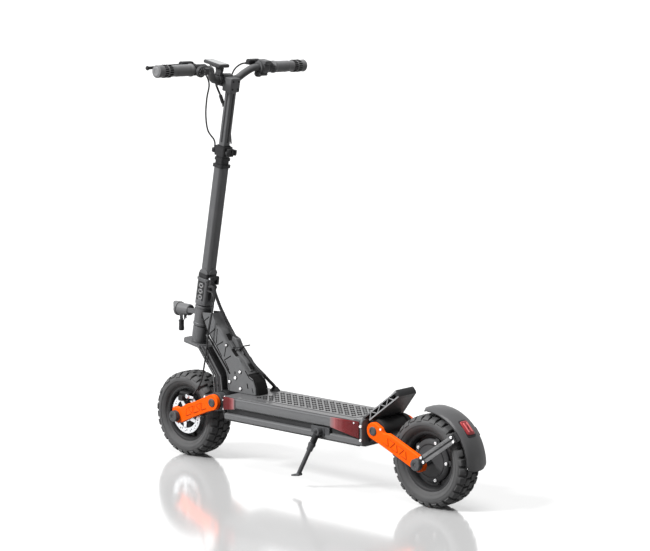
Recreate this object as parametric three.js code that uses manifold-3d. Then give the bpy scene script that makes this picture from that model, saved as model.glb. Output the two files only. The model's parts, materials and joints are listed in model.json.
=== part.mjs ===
// Electric kick scooter with swing-arm suspension, as separate pieces.
// Millimetres. +X is forward, +Y is the rider's left, +Z is up, and the floor is z = 0.
import * as THREE from "three";
import { mergeVertices } from "three/addons/utils/BufferGeometryUtils.js";
import Module from "manifold-3d";

const wasm = await Module();
wasm.setup();

// ---- Driving dimensions ----

const TYRE_RADIUS = 127.5;
const TYRE_HALF_WIDTH = 43;
const TREAD_HALF_WIDTH = 27;
const RIM_RADIUS = 81;
const RIM_HALF_WIDTH = 29;
const FRONT_AXLE_X = 486.5;
const REAR_AXLE_X = -456.5;
const AXLE_Z = TYRE_RADIUS;
const WHEEL_SIDES = 36;

const FRONT_PIVOT = { x: 334, z: 188 };
const REAR_PIVOT = { x: -295, z: 195 };
const ARM_INNER_Y = 61;
const ARM_THICKNESS = 14;
const ARM_HALF_HEIGHT = 22;
const TORSION_RADIUS = 28;
const TORSION_HALF_LENGTH = 59;
const AXLE_RADIUS = 8;
const AXLE_CAP_RADIUS = 16;

const RAKE = THREE.MathUtils.degToRad(10.4);
const STEER_FOOT_X = 523;
const HEAD_TUBE = { low: 406, high: 468, radius: 25, bore: 19 };
const STEERER_RADIUS = 15;
const FOLD_HINGE = { x: -26, s: 557 };
const STEM_LOW = 562;
const STEM_HIGH = 899;
const STEM_SIDE = 38;
const STEM_CORNER = 10;
const UPPER_SIDE = 25;
const UPPER_CORNER = 6;
const UPPER_LOW = 780;
const UPPER_HIGH = 1128;
const BAR_RADIUS = 11;
const BAR_CENTRE = { x: 29, s: 1146 };
const GRIP = { x: 5, s: 1184, radius: 16.5, inner: 165, outer: 300 };

const DECK_FRONT = 271;
const DECK_REAR = -257;
const DECK_HALF_WIDTH = 88;
const DECK_BOTTOM = 146;
const DECK_RIM = 215.7;
const LID_TOP = 219;
const GAP = 0.3;
const CABLE_RADIUS = 2.5;
const DEG = Math.PI / 180;

// ---- Solids: three.js makes the shapes, manifold-3d joins and cuts them ----

// Only position is left, and vertices that coincide are shared, before any turn is applied.
function welded(geometry) {
  geometry.deleteAttribute("normal");
  geometry.deleteAttribute("uv");
  return mergeVertices(geometry, 1e-4);
}

function solid(geometry) {
  const merged = welded(geometry.clone());
  const mesh = new wasm.Mesh({
    numProp: 3,
    vertProperties: merged.attributes.position.array,
    triVerts: new Uint32Array(merged.index.array),
  });
  return new wasm.Manifold(mesh);
}

function join(...geometries) {
  return back(geometries.map(solid).reduce((a, b) => a.add(b)));
}

function cut(geometry, ...tools) {
  return back(tools.map(solid).reduce((a, b) => a.subtract(b), solid(geometry)));
}

function keepInside(geometry, region) {
  return back(solid(geometry).intersect(solid(region)));
}

function back(made) {
  const mesh = made.getMesh();
  const geometry = new THREE.BufferGeometry();
  geometry.setAttribute("position", new THREE.BufferAttribute(mesh.vertProperties, 3));
  geometry.setIndex(new THREE.BufferAttribute(mesh.triVerts, 1));
  return geometry;
}

// ---- Shapes ----

// A block between two corners.
function block(low, high) {
  const size = high.map((value, i) => value - low[i]);
  const centre = high.map((value, i) => (value + low[i]) / 2);
  return new THREE.BoxGeometry(...size).translate(...centre);
}

// A cylinder along Y from y0 to y1, centred on x and z.
function rodY(radius, x, z, y0, y1, sides = 16) {
  return welded(new THREE.CylinderGeometry(radius, radius, y1 - y0, sides))
    .rotateY(Math.PI / sides)
    .translate(x, (y0 + y1) / 2, z);
}

// A cylinder along Z from z0 to z1.
function rodZ(radius, x, y, z0, z1, sides = 16) {
  return welded(new THREE.CylinderGeometry(radius, radius, z1 - z0, sides))
    .rotateX(Math.PI / 2)
    .translate(x, y, (z0 + z1) / 2);
}

// A cylinder along X from x0 to x1.
function rodX(radius, y, z, x0, x1, sides = 16) {
  return welded(new THREE.CylinderGeometry(radius, radius, x1 - x0, sides))
    .rotateZ(Math.PI / 2)
    .translate((x0 + x1) / 2, y, z);
}

function outline(points) {
  return new THREE.Shape(points.map(([a, b]) => new THREE.Vector2(a, b)));
}

function roundedRect(width, height, radius) {
  const shape = new THREE.Shape();
  const [w, h] = [width / 2, height / 2];
  shape.moveTo(-w + radius, -h);
  shape.lineTo(w - radius, -h);
  shape.quadraticCurveTo(w, -h, w, -h + radius);
  shape.lineTo(w, h - radius);
  shape.quadraticCurveTo(w, h, w - radius, h);
  shape.lineTo(-w + radius, h);
  shape.quadraticCurveTo(-w, h, -w, h - radius);
  shape.lineTo(-w, -h + radius);
  shape.quadraticCurveTo(-w, -h, -w + radius, -h);
  return shape;
}

// A side-view outline of [x, z] points, as a plate from y0 to y1.
function plateY(shape, y0, y1, curveSegments = 8) {
  return new THREE.ExtrudeGeometry(shape, { depth: y1 - y0, bevelEnabled: false, curveSegments })
    .rotateX(Math.PI / 2)
    .translate(0, y1, 0);
}

// A cross-section of [x, y] points, extruded from z0 to z1.
function prismZ(shape, z0, z1, curveSegments = 3) {
  return new THREE.ExtrudeGeometry(shape, { depth: z1 - z0, bevelEnabled: false, curveSegments })
    .translate(0, 0, z0);
}

// A cross-section of [y, z] points, extruded from x0 to x1.
function prismX(shape, x0, x1) {
  const turn = new THREE.Matrix4().makeBasis(
    new THREE.Vector3(0, 1, 0),
    new THREE.Vector3(0, 0, 1),
    new THREE.Vector3(1, 0, 0),
  );
  return new THREE.ExtrudeGeometry(shape, { depth: x1 - x0, bevelEnabled: false })
    .applyMatrix4(turn)
    .translate(x0, 0, 0);
}

// A closed profile of [radius, y] points, turned about the wheel axis.
function turned(profile, sides = WHEEL_SIDES) {
  const closed = [...profile, profile[0]].map(([r, y]) => new THREE.Vector2(r, y));
  return welded(new THREE.LatheGeometry(closed, sides)).rotateY(Math.PI / sides);
}

// A tube of a given radius along a smooth curve through the points.
function tube(points, radius, steps, sides = 8) {
  const section = new THREE.Shape();
  for (let i = 0; i < sides; i++) {
    const turn = (2 * Math.PI * i) / sides;
    const [a, b] = [radius * Math.cos(turn), radius * Math.sin(turn)];
    i ? section.lineTo(a, b) : section.moveTo(a, b);
  }
  const curve = new THREE.CatmullRomCurve3(points.map((p) => new THREE.Vector3(...p)));
  return new THREE.ExtrudeGeometry(section, { steps, extrudePath: curve });
}

function mirrored(points) {
  return [...points, ...points.map(([y, z]) => [-y, z]).reverse()];
}

// A beam with round ends between two points of the side view.
function beam(from, to, fromRadius, toRadius) {
  const turn = Math.atan2(to.z - from.z, to.x - from.x);
  const shape = new THREE.Shape();
  shape.absarc(from.x, from.z, fromRadius, turn + Math.PI / 2, turn + 1.5 * Math.PI);
  shape.absarc(to.x, to.z, toRadius, turn - Math.PI / 2, turn + Math.PI / 2);
  return shape;
}

// ---- Materials and the scene graph ----

const root = new THREE.Group();
const stemFrame = new THREE.Group();
stemFrame.position.set(STEER_FOOT_X, 0, 0);
stemFrame.rotation.y = -RAKE;
root.add(stemFrame);

function finish(color, roughness, metalness) {
  return { color, roughness, metalness };
}

const FINISH = {
  paint: finish(0x3a3b3d, 0.5, 0.4),
  casting: finish(0x2a2b2d, 0.6, 0.4),
  orange: finish(0xf2600c, 0.45, 0.2),
  rubber: finish(0x1b1b1c, 0.9, 0),
  plastic: finish(0x202124, 0.6, 0),
  steel: finish(0xc9ccd0, 0.3, 0.9),
  redLens: finish(0xa32026, 0.3, 0),
  mat: finish(0x55575a, 0.8, 0.1),
  cell: finish(0x2f4a7a, 0.7, 0),
};

function add(name, geometry, look, group = root) {
  const mesh = new THREE.Mesh(geometry, new THREE.MeshStandardMaterial(FINISH[look]));
  mesh.name = name;
  group.add(mesh);
  return mesh;
}

// ---- Wheels ----

const TYRE_PROFILE = [
  [RIM_RADIUS + GAP, -RIM_HALF_WIDTH + 2],
  [RIM_RADIUS + 12, -TYRE_HALF_WIDTH + 3],
  [RIM_RADIUS + 26, -TYRE_HALF_WIDTH],
  [TYRE_RADIUS - 9, -TYRE_HALF_WIDTH + 4],
  [TYRE_RADIUS, -TREAD_HALF_WIDTH],
  [TYRE_RADIUS, TREAD_HALF_WIDTH],
  [TYRE_RADIUS - 9, TYRE_HALF_WIDTH - 4],
  [RIM_RADIUS + 26, TYRE_HALF_WIDTH],
  [RIM_RADIUS + 12, TYRE_HALF_WIDTH - 3],
  [RIM_RADIUS + GAP, RIM_HALF_WIDTH - 2],
];

// The flats of the tread, not its corners, reach the full radius, so each tyre meets the floor.
const FLAT_SCALE = 1 / Math.cos(Math.PI / WHEEL_SIDES);

function tyre() {
  return turned(TYRE_PROFILE).scale(FLAT_SCALE, 1, FLAT_SCALE);
}

// A rim ring whose barrel is thin, joined to a hub of the given radius by a disc or by spokes.
function rimRing() {
  return turned([
    [RIM_RADIUS, -RIM_HALF_WIDTH],
    [RIM_RADIUS, RIM_HALF_WIDTH],
    [RIM_RADIUS - 5, RIM_HALF_WIDTH],
    [RIM_RADIUS - 10, RIM_HALF_WIDTH - 8],
    [RIM_RADIUS - 10, -RIM_HALF_WIDTH + 8],
    [RIM_RADIUS - 5, -RIM_HALF_WIDTH],
  ]);
}

const HUB_BORE = AXLE_RADIUS + 0.5;

function frontRim() {
  const hub = rodY(24, 0, 0, -30, 30);
  const spokes = [0, 1, 2, 3, 4].map((i) =>
    block([15, -9, -8], [RIM_RADIUS - 7, 9, 8]).rotateY((2 * Math.PI * i) / 5),
  );
  return cut(join(rimRing(), hub, ...spokes), rodY(HUB_BORE, 0, 0, -40, 40));
}

function hubMotor() {
  const shell = turned(
    [
      [2, -29],
      [36, -29],
      [40, -21],
      [58, -17],
      [58, 18],
      [52, 25],
      [2, 25],
    ],
    24,
  );
  const web = rodY(RIM_RADIUS - 7, 0, 0, -7, 7, WHEEL_SIDES);
  return cut(join(rimRing(), shell, web), rodY(HUB_BORE, 0, 0, -40, 40));
}

// A drilled brake disc between y0 and y1, with windows behind its friction ring.
function brakeDisc(radius, y0, y1) {
  const holes = Array.from({ length: 10 }, (_, i) => {
    const turn = (2 * Math.PI * i) / 10;
    return rodY(3, (radius - 9) * Math.cos(turn), (radius - 9) * Math.sin(turn), y0 - 1, y1 + 1, 4);
  });
  const windows = Array.from({ length: 5 }, (_, i) =>
    block([27, y0 - 1, -9], [radius - 19, y1 + 1, 9]).rotateY((2 * Math.PI * (i + 0.5)) / 5),
  );
  return cut(rodY(radius, 0, 0, y0, y1, 32), rodY(HUB_BORE, 0, 0, y0 - 1, y1 + 1), ...holes, ...windows);
}

function wheelMesh(name, geometry, look, axleX) {
  add(name, geometry, look).position.set(axleX, 0, AXLE_Z);
}

const DISC_RADIUS = 60;

wheelMesh("front_tyre", tyre(), "rubber", FRONT_AXLE_X);
wheelMesh("front_rim", frontRim(), "casting", FRONT_AXLE_X);
wheelMesh("front_disc", brakeDisc(DISC_RADIUS, 30.3, 32.5), "steel", FRONT_AXLE_X);
wheelMesh("rear_tyre", tyre(), "rubber", REAR_AXLE_X);
wheelMesh("rear_hub_motor", hubMotor(), "casting", REAR_AXLE_X);
wheelMesh("rear_disc", brakeDisc(DISC_RADIUS, -32.5, -30.3), "steel", REAR_AXLE_X);

// ---- Swing arms and axles ----

const ARM_OUTER_Y = ARM_INNER_Y + ARM_THICKNESS;
const AXLE_CAP = { inner: ARM_OUTER_Y + GAP, outer: 90 };

// One arm: a beam whose stub goes into the torsion tube, with a bore for the axle.
function swingArm(pivot, axleX, side) {
  const axle = { x: axleX, z: AXLE_Z };
  const reach = Math.sign(axleX - pivot.x);
  const shape = beam(pivot, axle, ARM_HALF_HEIGHT + 2, ARM_HALF_HEIGHT);
  const span = [side * ARM_INNER_Y, side * ARM_OUTER_Y].sort((a, b) => a - b);
  const stub = [side * 34, side * (ARM_INNER_Y + 1)].sort((a, b) => a - b);
  const notch = {
    x: pivot.x + reach * 42,
    z: pivot.z + 19,
  };
  return cut(
    join(plateY(shape, ...span), rodY(13, pivot.x, pivot.z, ...stub)),
    rodY(AXLE_RADIUS + GAP, axle.x, axle.z, span[0] - 1, span[1] + 1),
    rodY(9, notch.x, notch.z, span[0] - 1, span[1] + 1, 16),
  );
}

// An axle whose cap nuts stand outside the arms, with a collar inside each arm.
function axleRod(axleX) {
  const caps = [1, -1].map((side) => {
    const span = [side * AXLE_CAP.inner, side * AXLE_CAP.outer].sort((a, b) => a - b);
    return rodY(AXLE_CAP_RADIUS, axleX, AXLE_Z, ...span);
  });
  const collars = [1, -1].map((side) => {
    const span = [side * 36, side * (ARM_INNER_Y - GAP)].sort((a, b) => a - b);
    return rodY(AXLE_RADIUS + 4, axleX, AXLE_Z, ...span);
  });
  return join(rodY(AXLE_RADIUS, axleX, AXLE_Z, -80, 80), ...caps, ...collars);
}

// A calliper that straddles its disc; it stands out from the axle at the given turn.
function calliper(axleX, side, turn) {
  const across = (from, to) => [side * from, side * to].sort((a, b) => a - b);
  const boxed = (x0, x1, [y0, y1], half) => block([x0, y0, -half], [x1, y1, half]);
  const body = boxed(42, 67, across(22, 45), 20);
  const carrier = boxed(44, 60, across(44, ARM_INNER_Y - GAP), 9);
  const mouth = boxed(30, 63, across(29, 34), 30);
  return cut(join(body, carrier), mouth).rotateY(turn).translate(axleX, 0, AXLE_Z);
}

for (const [side, word] of [
  [1, "left"],
  [-1, "right"],
]) {
  add("front_arm_" + word, swingArm(FRONT_PIVOT, FRONT_AXLE_X, side), "orange");
  add("rear_arm_" + word, swingArm(REAR_PIVOT, REAR_AXLE_X, side), "orange");
}
add("front_axle", axleRod(FRONT_AXLE_X), "casting");
add("rear_axle", axleRod(REAR_AXLE_X), "casting");

add("front_calliper", calliper(FRONT_AXLE_X, 1, -93 * DEG), "casting");
add("rear_calliper", calliper(REAR_AXLE_X, -1, -55 * DEG), "casting");

// The lever on the front calliper that its cable pulls.
const CALLIPER_LEVER = { x: FRONT_AXLE_X - 21, z: AXLE_Z + 58 };
const LEVER_Y = 45 + GAP;
add(
  "calliper_lever",
  join(
    rodY(7, CALLIPER_LEVER.x, CALLIPER_LEVER.z, LEVER_Y, LEVER_Y + 7, 12),
    block([CALLIPER_LEVER.x - 26, LEVER_Y, CALLIPER_LEVER.z], [CALLIPER_LEVER.x, LEVER_Y + 3, CALLIPER_LEVER.z + 6]),
  ),
  "steel",
);

// ---- Rear fender, its struts and the tail light ----

const FENDER = { x: REAR_AXLE_X, z: AXLE_Z, radius: 150, halfWidth: 41, wall: 3 };
const FENDER_START = 80 * DEG;
const FENDER_END = 183 * DEG;
const STRUT_TURN = 141 * DEG;

// A pie slice of the side view, from y0 to y1.
function sector(centre, radius, start, end, y0, y1) {
  const shape = new THREE.Shape();
  shape.moveTo(centre.x, centre.z);
  shape.lineTo(centre.x + radius * Math.cos(start), centre.z + radius * Math.sin(start));
  shape.absarc(centre.x, centre.z, radius, start, end);
  return plateY(shape, y0, y1, 10);
}

// Half a profile of [radius, y] points, edge first, continued over the crown to the other edge.
function bothSides(half) {
  return [...half.map(([r, y]) => [r, -y]), ...[...half].reverse()];
}

// The fender is a ring with a crowned top and side skirts, cut to a sector.
function fender() {
  const { radius, halfWidth, wall } = FENDER;
  const outer = [
    [radius - 9, halfWidth],
    [radius - 5, halfWidth - 3],
    [radius - 1.5, halfWidth - 15],
    [radius, halfWidth - 27],
  ];
  const inner = [
    [radius - 9, halfWidth - wall],
    [radius - 8, halfWidth - wall - 1.5],
    [radius - 1.5 - wall, halfWidth - 16],
    [radius - wall, halfWidth - 28],
  ];
  const ring = turned([...bothSides(outer), ...bothSides(inner).reverse()], 48);
  const slice = sector({ x: 0, z: 0 }, radius + 40, FENDER_START, FENDER_END, -60, 60);
  const tabs = [1, -1].map((side) => {
    const span = [side * (halfWidth - 1), side * (halfWidth + wall)].sort((a, b) => a - b);
    return block([radius - 30, span[0], -13], [radius - 6, span[1], 13]).rotateY(-STRUT_TURN);
  });
  return join(keepInside(ring, slice), ...tabs).translate(FENDER.x, 0, FENDER.z);
}

// A flat bar from one point to another, with its width in the side view.
function bar(from, to, width, thickness) {
  const [a, b] = [new THREE.Vector3(...from), new THREE.Vector3(...to)];
  const along = b.clone().sub(a);
  const length = along.length();
  along.normalize();
  const across = new THREE.Vector3(-along.z, 0, along.x).normalize();
  const out = along.clone().cross(across).normalize();
  const turn = new THREE.Matrix4().makeBasis(along, across, out);
  const middle = a.add(b).multiplyScalar(0.5);
  return new THREE.BoxGeometry(length, width, thickness)
    .applyMatrix4(turn)
    .translate(middle.x, middle.y, middle.z);
}

// Each strut is a pair of rails from beside the axle cap to the fender's tab.
function fenderStrut(side) {
  const [near, far] = [22, FENDER.radius - 22];
  const [c, s] = [Math.cos(STRUT_TURN), Math.sin(STRUT_TURN)];
  const [nearY, farY] = [side * (ARM_OUTER_Y + 5), side * (FENDER.halfWidth + 5.5)];
  const from = [REAR_AXLE_X + near * c, nearY, AXLE_Z + near * s];
  const to = [REAR_AXLE_X + far * c, farY, AXLE_Z + far * s];
  return bar(from, to, 24, 4);
}

// The tail light is a shell that hugs the crown of the fender.
function tailLight() {
  const { radius } = FENDER;
  const ring = turned(
    [
      [radius + GAP, -15.5],
      [radius + 4.2, -13.5],
      [radius + 4.2, 13.5],
      [radius + GAP, 15.5],
    ],
    48,
  );
  const slice = sector({ x: 0, z: 0 }, radius + 20, 127.5 * DEG, 145 * DEG, -40, 40);
  return keepInside(ring, slice).translate(FENDER.x, 0, FENDER.z);
}

add("rear_fender", fender(), "plastic");
add("fender_strut_left", fenderStrut(1), "casting");
add("fender_strut_right", fenderStrut(-1), "casting");
add("tail_light", tailLight(), "redLens");

// ---- Deck ----

// One half of the deck's cross-section, from the bottom middle out and up to the rim.
const DECK_SIDE = [
  [72, DECK_BOTTOM],
  [84, 150],
  [84, 159],
  [76, 162],
  [76, 179],
  [DECK_HALF_WIDTH, 183],
  [DECK_HALF_WIDTH, 213],
  [85, DECK_RIM],
];
const CAVITY = { halfWidth: 70, bottom: 150, front: 262 };
const CHARGE_PORT = { x: 150, z: 198, radius: 9 };

function deckFrame() {
  const shell = prismX(outline(mirrored(DECK_SIDE)), DECK_REAR, DECK_FRONT);
  const { halfWidth, bottom, front } = CAVITY;
  const cavity = block([DECK_REAR - 1, -halfWidth, bottom], [front, halfWidth, DECK_RIM + 1]);
  const port = rodY(CHARGE_PORT.radius, CHARGE_PORT.x, CHARGE_PORT.z, -95, -60, 16);
  const bracket = join(
    block([-143, 72, 163], [-75, 86, 181]),
    block([-125, 84, 158], [-92, 88, 182]),
  );
  return join(cut(shell, cavity, port), bracket);
}

add("deck_frame", deckFrame(), "paint");
add("deck_lid", block([DECK_REAR + 2, -85, DECK_RIM + GAP], [DECK_FRONT - 1, 85, LID_TOP]), "paint");
add("grip_mat", block([-222, -60, LID_TOP + GAP], [188, 60, LID_TOP + 2.3]), "mat");
add("battery_pack", block([-190, -62, CAVITY.bottom + GAP], [120, 62, 208]), "cell");
add("motor_controller", block([135, -55, CAVITY.bottom + GAP], [250, 55, 192]), "steel");

// The casting that closes the rear of the deck and holds the rear torsion tube.
function rearCasting() {
  const plate = prismX(outline(mirrored([[70, 147], [85, 151], [85, 221], [82, 224]])), DECK_REAR - 9, DECK_REAR - GAP);
  const web = block([REAR_PIVOT.x - 6, -50, 170], [DECK_REAR - 5, 50, 216]);
  const body = rodY(TORSION_RADIUS + 3, REAR_PIVOT.x, REAR_PIVOT.z, -TORSION_HALF_LENGTH, TORSION_HALF_LENGTH, 24);
  const bore = rodY(13 + GAP, REAR_PIVOT.x, REAR_PIVOT.z, -70, 70);
  return cut(join(plate, web, body), bore);
}

add("rear_casting", rearCasting(), "casting");

// Side lights clip over the deck's upper band at its four corners.
const FRONT_LIGHT = [
  [DECK_FRONT, 218],
  [DECK_FRONT, 178],
  [224, 185],
  [224, 216],
];
const REAR_LIGHT = [
  [DECK_REAR, 220],
  [DECK_REAR, 170],
  [-149, 188],
  [-149, 216],
];

for (const [side, word] of [
  [1, "left"],
  [-1, "right"],
]) {
  const span = [side * (DECK_HALF_WIDTH + GAP), side * (DECK_HALF_WIDTH + 3)].sort((a, b) => a - b);
  add("side_light_front_" + word, plateY(outline(FRONT_LIGHT), ...span), "redLens");
  add("side_light_rear_" + word, plateY(outline(REAR_LIGHT), ...span), "redLens");
}

// A rubber cap on the charging port swings up on its strap.
const CHARGE_CAP_Y = -DECK_HALF_WIDTH - GAP;
add(
  "charge_cap",
  join(
    rodY(12, CHARGE_PORT.x, CHARGE_PORT.z, CHARGE_CAP_Y - 3, CHARGE_CAP_Y, 20),
    block(
      [CHARGE_PORT.x - 5, CHARGE_CAP_Y - 3, CHARGE_PORT.z],
      [CHARGE_PORT.x + 5, CHARGE_CAP_Y, CHARGE_PORT.z + 15],
    ),
  ),
  "rubber",
);

// ---- Footrest: a sloped plate that narrows towards its tip, with a rib down each side ----

const REST = { baseX: -236, baseZ: 219.3, tipX: -336, tipZ: 310, baseHalf: 78, tipHalf: 36 };

function footrest() {
  const slope = Math.atan2(REST.tipZ - REST.baseZ, REST.tipX - REST.baseX);
  const length = Math.hypot(REST.tipZ - REST.baseZ, REST.tipX - REST.baseX);
  const taper = outline([
    [0, -REST.baseHalf],
    [length, -REST.tipHalf],
    [length, REST.tipHalf],
    [0, REST.baseHalf],
  ]);
  const plate = prismZ(taper, -4, 0);
  const hollow = outline([
    [10, -REST.baseHalf + 9],
    [length + 9, -REST.tipHalf + 5],
    [length + 9, REST.tipHalf - 5],
    [10, REST.baseHalf - 9],
  ]);
  const rim = cut(prismZ(taper, -20, -1), prismZ(hollow, -30, 1));
  const sloped = join(plate, rim).rotateX(Math.PI).rotateY(-slope).translate(REST.baseX, 0, REST.baseZ);
  const under = block([-400, -100, 100], [-100, 100, LID_TOP + GAP]);
  const behind = block([-400, -100, 100], [DECK_REAR - GAP, 100, 226 + GAP]);
  const foot = block([DECK_REAR + 2, -70, LID_TOP + GAP], [REST.baseX + 12, 70, LID_TOP + 4]);
  return cut(join(sloped, foot), under, behind);
}

add("footrest", footrest(), "casting");

// ---- Kickstand ----

const STAND_PIVOT = { x: -109, y: 96, z: 170 };
const STAND_FOOT = { x: -47, y: 108, z: 40 };

function kickstand() {
  const { x, y, z } = STAND_PIVOT;
  const leg = tube([[x, y, z], [STAND_FOOT.x, STAND_FOOT.y, STAND_FOOT.z]], 6.5, 1, 10);
  const collar = tube([[x + 20, y + 4.5, z - 42], [x + 27, y + 6, z - 56.5]], 10, 1, 10);
  const pad = block(
    [STAND_FOOT.x - 6, STAND_FOOT.y - 9, STAND_FOOT.z - 4],
    [STAND_FOOT.x + 20, STAND_FOOT.y + 9, STAND_FOOT.z + 3],
  );
  return join(leg, collar, rodY(9, x, z, DECK_HALF_WIDTH + GAP, y + 7, 16), pad);
}

add("kickstand", kickstand(), "casting");

// ---- Neck, which holds the head tube over the front of the deck ----

const NECK_HALF = 26;
const NECK_SIDE = [
  [424, 441],
  [394, 379],
  [324, 274],
  [311, LID_TOP + GAP],
  [200, LID_TOP + GAP],
  [200, 236],
  [238, 270],
  [286, 318],
  [306, 336],
  [346, 388],
  [380, 424],
  [391, 442],
];

// Moves a shape made in the stem's own frame into the row's frame.
function fromStem(geometry) {
  return geometry.rotateY(-RAKE).translate(STEER_FOOT_X, 0, 0);
}

function neckFrame() {
  const { low, high, radius, bore } = HEAD_TUBE;
  const sides = plateY(outline(NECK_SIDE), -NECK_HALF, NECK_HALF);
  const pocket = outline([
    [386, 385],
    [322, 288],
    [306, 226],
    [214, 226],
    [246, 268],
    [303, 349],
    [376, 421],
  ]);
  const core = plateY(pocket, -NECK_HALF + 5, NECK_HALF - 5);
  const chimney = plateY(
    outline([[200, 219], [250, 226], [310, 345], [385, 425], [370, 460], [180, 300]]),
    -NECK_HALF + 5,
    NECK_HALF - 5,
  );
  const socket = fromStem(rodZ(radius - 1, 0, 0, low - 30, high + 30));
  const barrel = fromStem(rodZ(radius, 0, 0, low, high, 24));
  const hole = fromStem(rodZ(bore, 0, 0, low - 5, high + 5, 24));
  const ears = [13.3, -16.3].map((y) => block([456, y, 433], [495, y + 3, 447]));
  return cut(join(cut(sides, core, chimney, socket), barrel, ...ears), hole);
}

add("neck_frame", neckFrame(), "paint");

// The cover that closes the back of the neck, flush with the edges of its side plates.
const COVER_SIDE = [
  [235, 273],
  [283, 321],
  [303, 339],
  [343, 391],
  [377, 427],
  [388, 445],
  [383, 449],
  [372.5, 431],
  [339.5, 394.5],
  [299.5, 343],
  [279, 325.5],
  [230, 278],
];
add("neck_cover", plateY(outline(COVER_SIDE), -NECK_HALF + 1, NECK_HALF - 1), "plastic");

for (const [name, low] of [
  ["lower_bearing", HEAD_TUBE.low + 3],
  ["upper_bearing", HEAD_TUBE.high - 13],
]) {
  const race = cut(
    rodZ(HEAD_TUBE.bore - GAP, 0, 0, low, low + 10),
    rodZ(STEERER_RADIUS + GAP, 0, 0, low - 1, low + 11),
  );
  add(name, race, "steel", stemFrame);
}

// The wrapped harness leaves the stem base, hangs behind the neck and enters the deck.
const HARNESS = [
  [402.5, 15, 519],
  [386, 15, 518],
  [374, 12, 490],
  [364, 4, 456],
  [340, -5, 408],
  [317, -6, 378],
  [283, -8, 345],
  [258, -7, 319],
  [235, -9, 297],
  [211, -16, 276],
  [208, -38, 254],
  [214, -62, 237],
  [217, -72, 227],
  [217, -72, LID_TOP + 1],
];
add("wiring_harness", tube(HARNESS, 5, 24), "plastic");

// ---- Headlight and horn, on the front of the head tube ----

const LIGHT = { x0: 488, x1: 550, z: 438, radius: 20, tailRadius: 13 };
const HORN = { x: 538, radius: 8, low: 372, high: 406 };

function headlight() {
  const barrel = rodX(LIGHT.radius, 0, LIGHT.z, LIGHT.x0 + 12, LIGHT.x1, 24);
  const cup = rodX(LIGHT.radius - 3, 0, LIGHT.z, LIGHT.x1 - 14, LIGHT.x1 + 1, 24);
  const tail = rodX(LIGHT.tailRadius, 0, LIGHT.z, LIGHT.x0, LIGHT.x0 + 13, 24);
  return cut(join(barrel, tail), cup);
}

add("headlight", headlight(), "plastic");

function horn() {
  const barrel = rodZ(HORN.radius, HORN.x, 0, HORN.low, HORN.high, 16);
  const stalkTop = LIGHT.z - LIGHT.radius - GAP;
  return join(barrel, block([HORN.x - 4, -3, HORN.high - 1], [HORN.x + 4, 3, stalkTop]));
}

add("horn", horn(), "plastic");

// ---- Fork: crown, swept box and the saddle around the torsion tube ----

function fork() {
  const crown = fromStem(
    join(
      rodZ(HEAD_TUBE.radius, 0, 0, 352, 404, 24),
      block([-34, -34, 346], [52, 34, 354]),
    ),
  );
  const leg = plateY(
    outline([[434, 342], [361, 257], [358, 205], [330, 214], [334, 257], [402, 336]]),
    -36,
    36,
  );
  const saddle = rodY(TORSION_RADIUS + 4, FRONT_PIVOT.x, FRONT_PIVOT.z, -34, 34, 24);
  const tubeHole = rodY(TORSION_RADIUS + GAP, FRONT_PIVOT.x, FRONT_PIVOT.z, -80, 80, 24);
  const steererHole = fromStem(rodZ(STEERER_RADIUS + GAP, 0, 0, 340, 420));
  return cut(join(crown, leg, saddle), tubeHole, steererHole);
}

add("fork", fork(), "casting");
add(
  "front_torsion_tube",
  cut(
    rodY(TORSION_RADIUS, FRONT_PIVOT.x, FRONT_PIVOT.z, -TORSION_HALF_LENGTH, TORSION_HALF_LENGTH, 24),
    rodY(13 + GAP, FRONT_PIVOT.x, FRONT_PIVOT.z, -70, 70),
  ),
  "casting",
);

// ---- Stem base, in the stem's frame: Z runs up the steering axis ----

function stemBase() {
  const body = prismZ(roundedRect(46, 46, 12), HEAD_TUBE.high + 3, 553);
  const steerer = rodZ(STEERER_RADIUS, 0, 0, 358, 480);
  const lugs = [1, -1].map((side) => {
    const span = [side * 9, side * 17].sort((a, b) => a - b);
    return join(
      rodY(6, FOLD_HINGE.x, FOLD_HINGE.s, ...span, 16),
      block([FOLD_HINGE.x - 6, span[0], 540], [FOLD_HINGE.x + 6, span[1], FOLD_HINGE.s]),
    );
  });
  const notch = block([FOLD_HINGE.x - 10, -9, 547], [FOLD_HINGE.x + 9, 9, 560]);
  return cut(join(body, steerer, ...lugs), notch);
}

add("stem_base", stemBase(), "paint", stemFrame);

// The lever that locks the fold hangs behind the stem base.
const LATCH = { x: -31, s: 531 };
add(
  "fold_latch",
  join(
    block([LATCH.x - 5, -7, 486], [LATCH.x + 2, 7, LATCH.s]),
    rodY(5, LATCH.x, LATCH.s, -7, 7, 16),
  ),
  "casting",
  stemFrame,
);

// The front brake cable, from the stem base to the calliper's lever.
const FRONT_BRAKE_CABLE = [
  [402, 20.5, 508],
  [372, 30, 502],
  [362, 38, 470],
  [378, 40, 400],
  [396, 41, 300],
  [410, 44, 238],
  [430, 47, 206],
  [441, 47, 196],
];
add("front_brake_cable", tube(FRONT_BRAKE_CABLE, CABLE_RADIUS, 40), "rubber");

// ---- Folding stem ----

function stemTube() {
  const outer = prismZ(roundedRect(STEM_SIDE, STEM_SIDE, STEM_CORNER), STEM_LOW, STEM_HIGH);
  const inner = prismZ(roundedRect(STEM_SIDE - 6, STEM_SIDE - 6, STEM_CORNER - 3), STEM_LOW + 12, STEM_HIGH + 1);
  const flange = block([-18.4, -22, 553.6], [22, 22, 566]);
  const knuckle = rodY(6.5, FOLD_HINGE.x, FOLD_HINGE.s, -8.5, 8.5, 16);
  const web = block([FOLD_HINGE.x, -8.5, 553.6], [-17, 8.5, 563]);
  return cut(join(outer, flange, knuckle, web), inner);
}

add("stem_tube", stemTube(), "paint", stemFrame);

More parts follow.
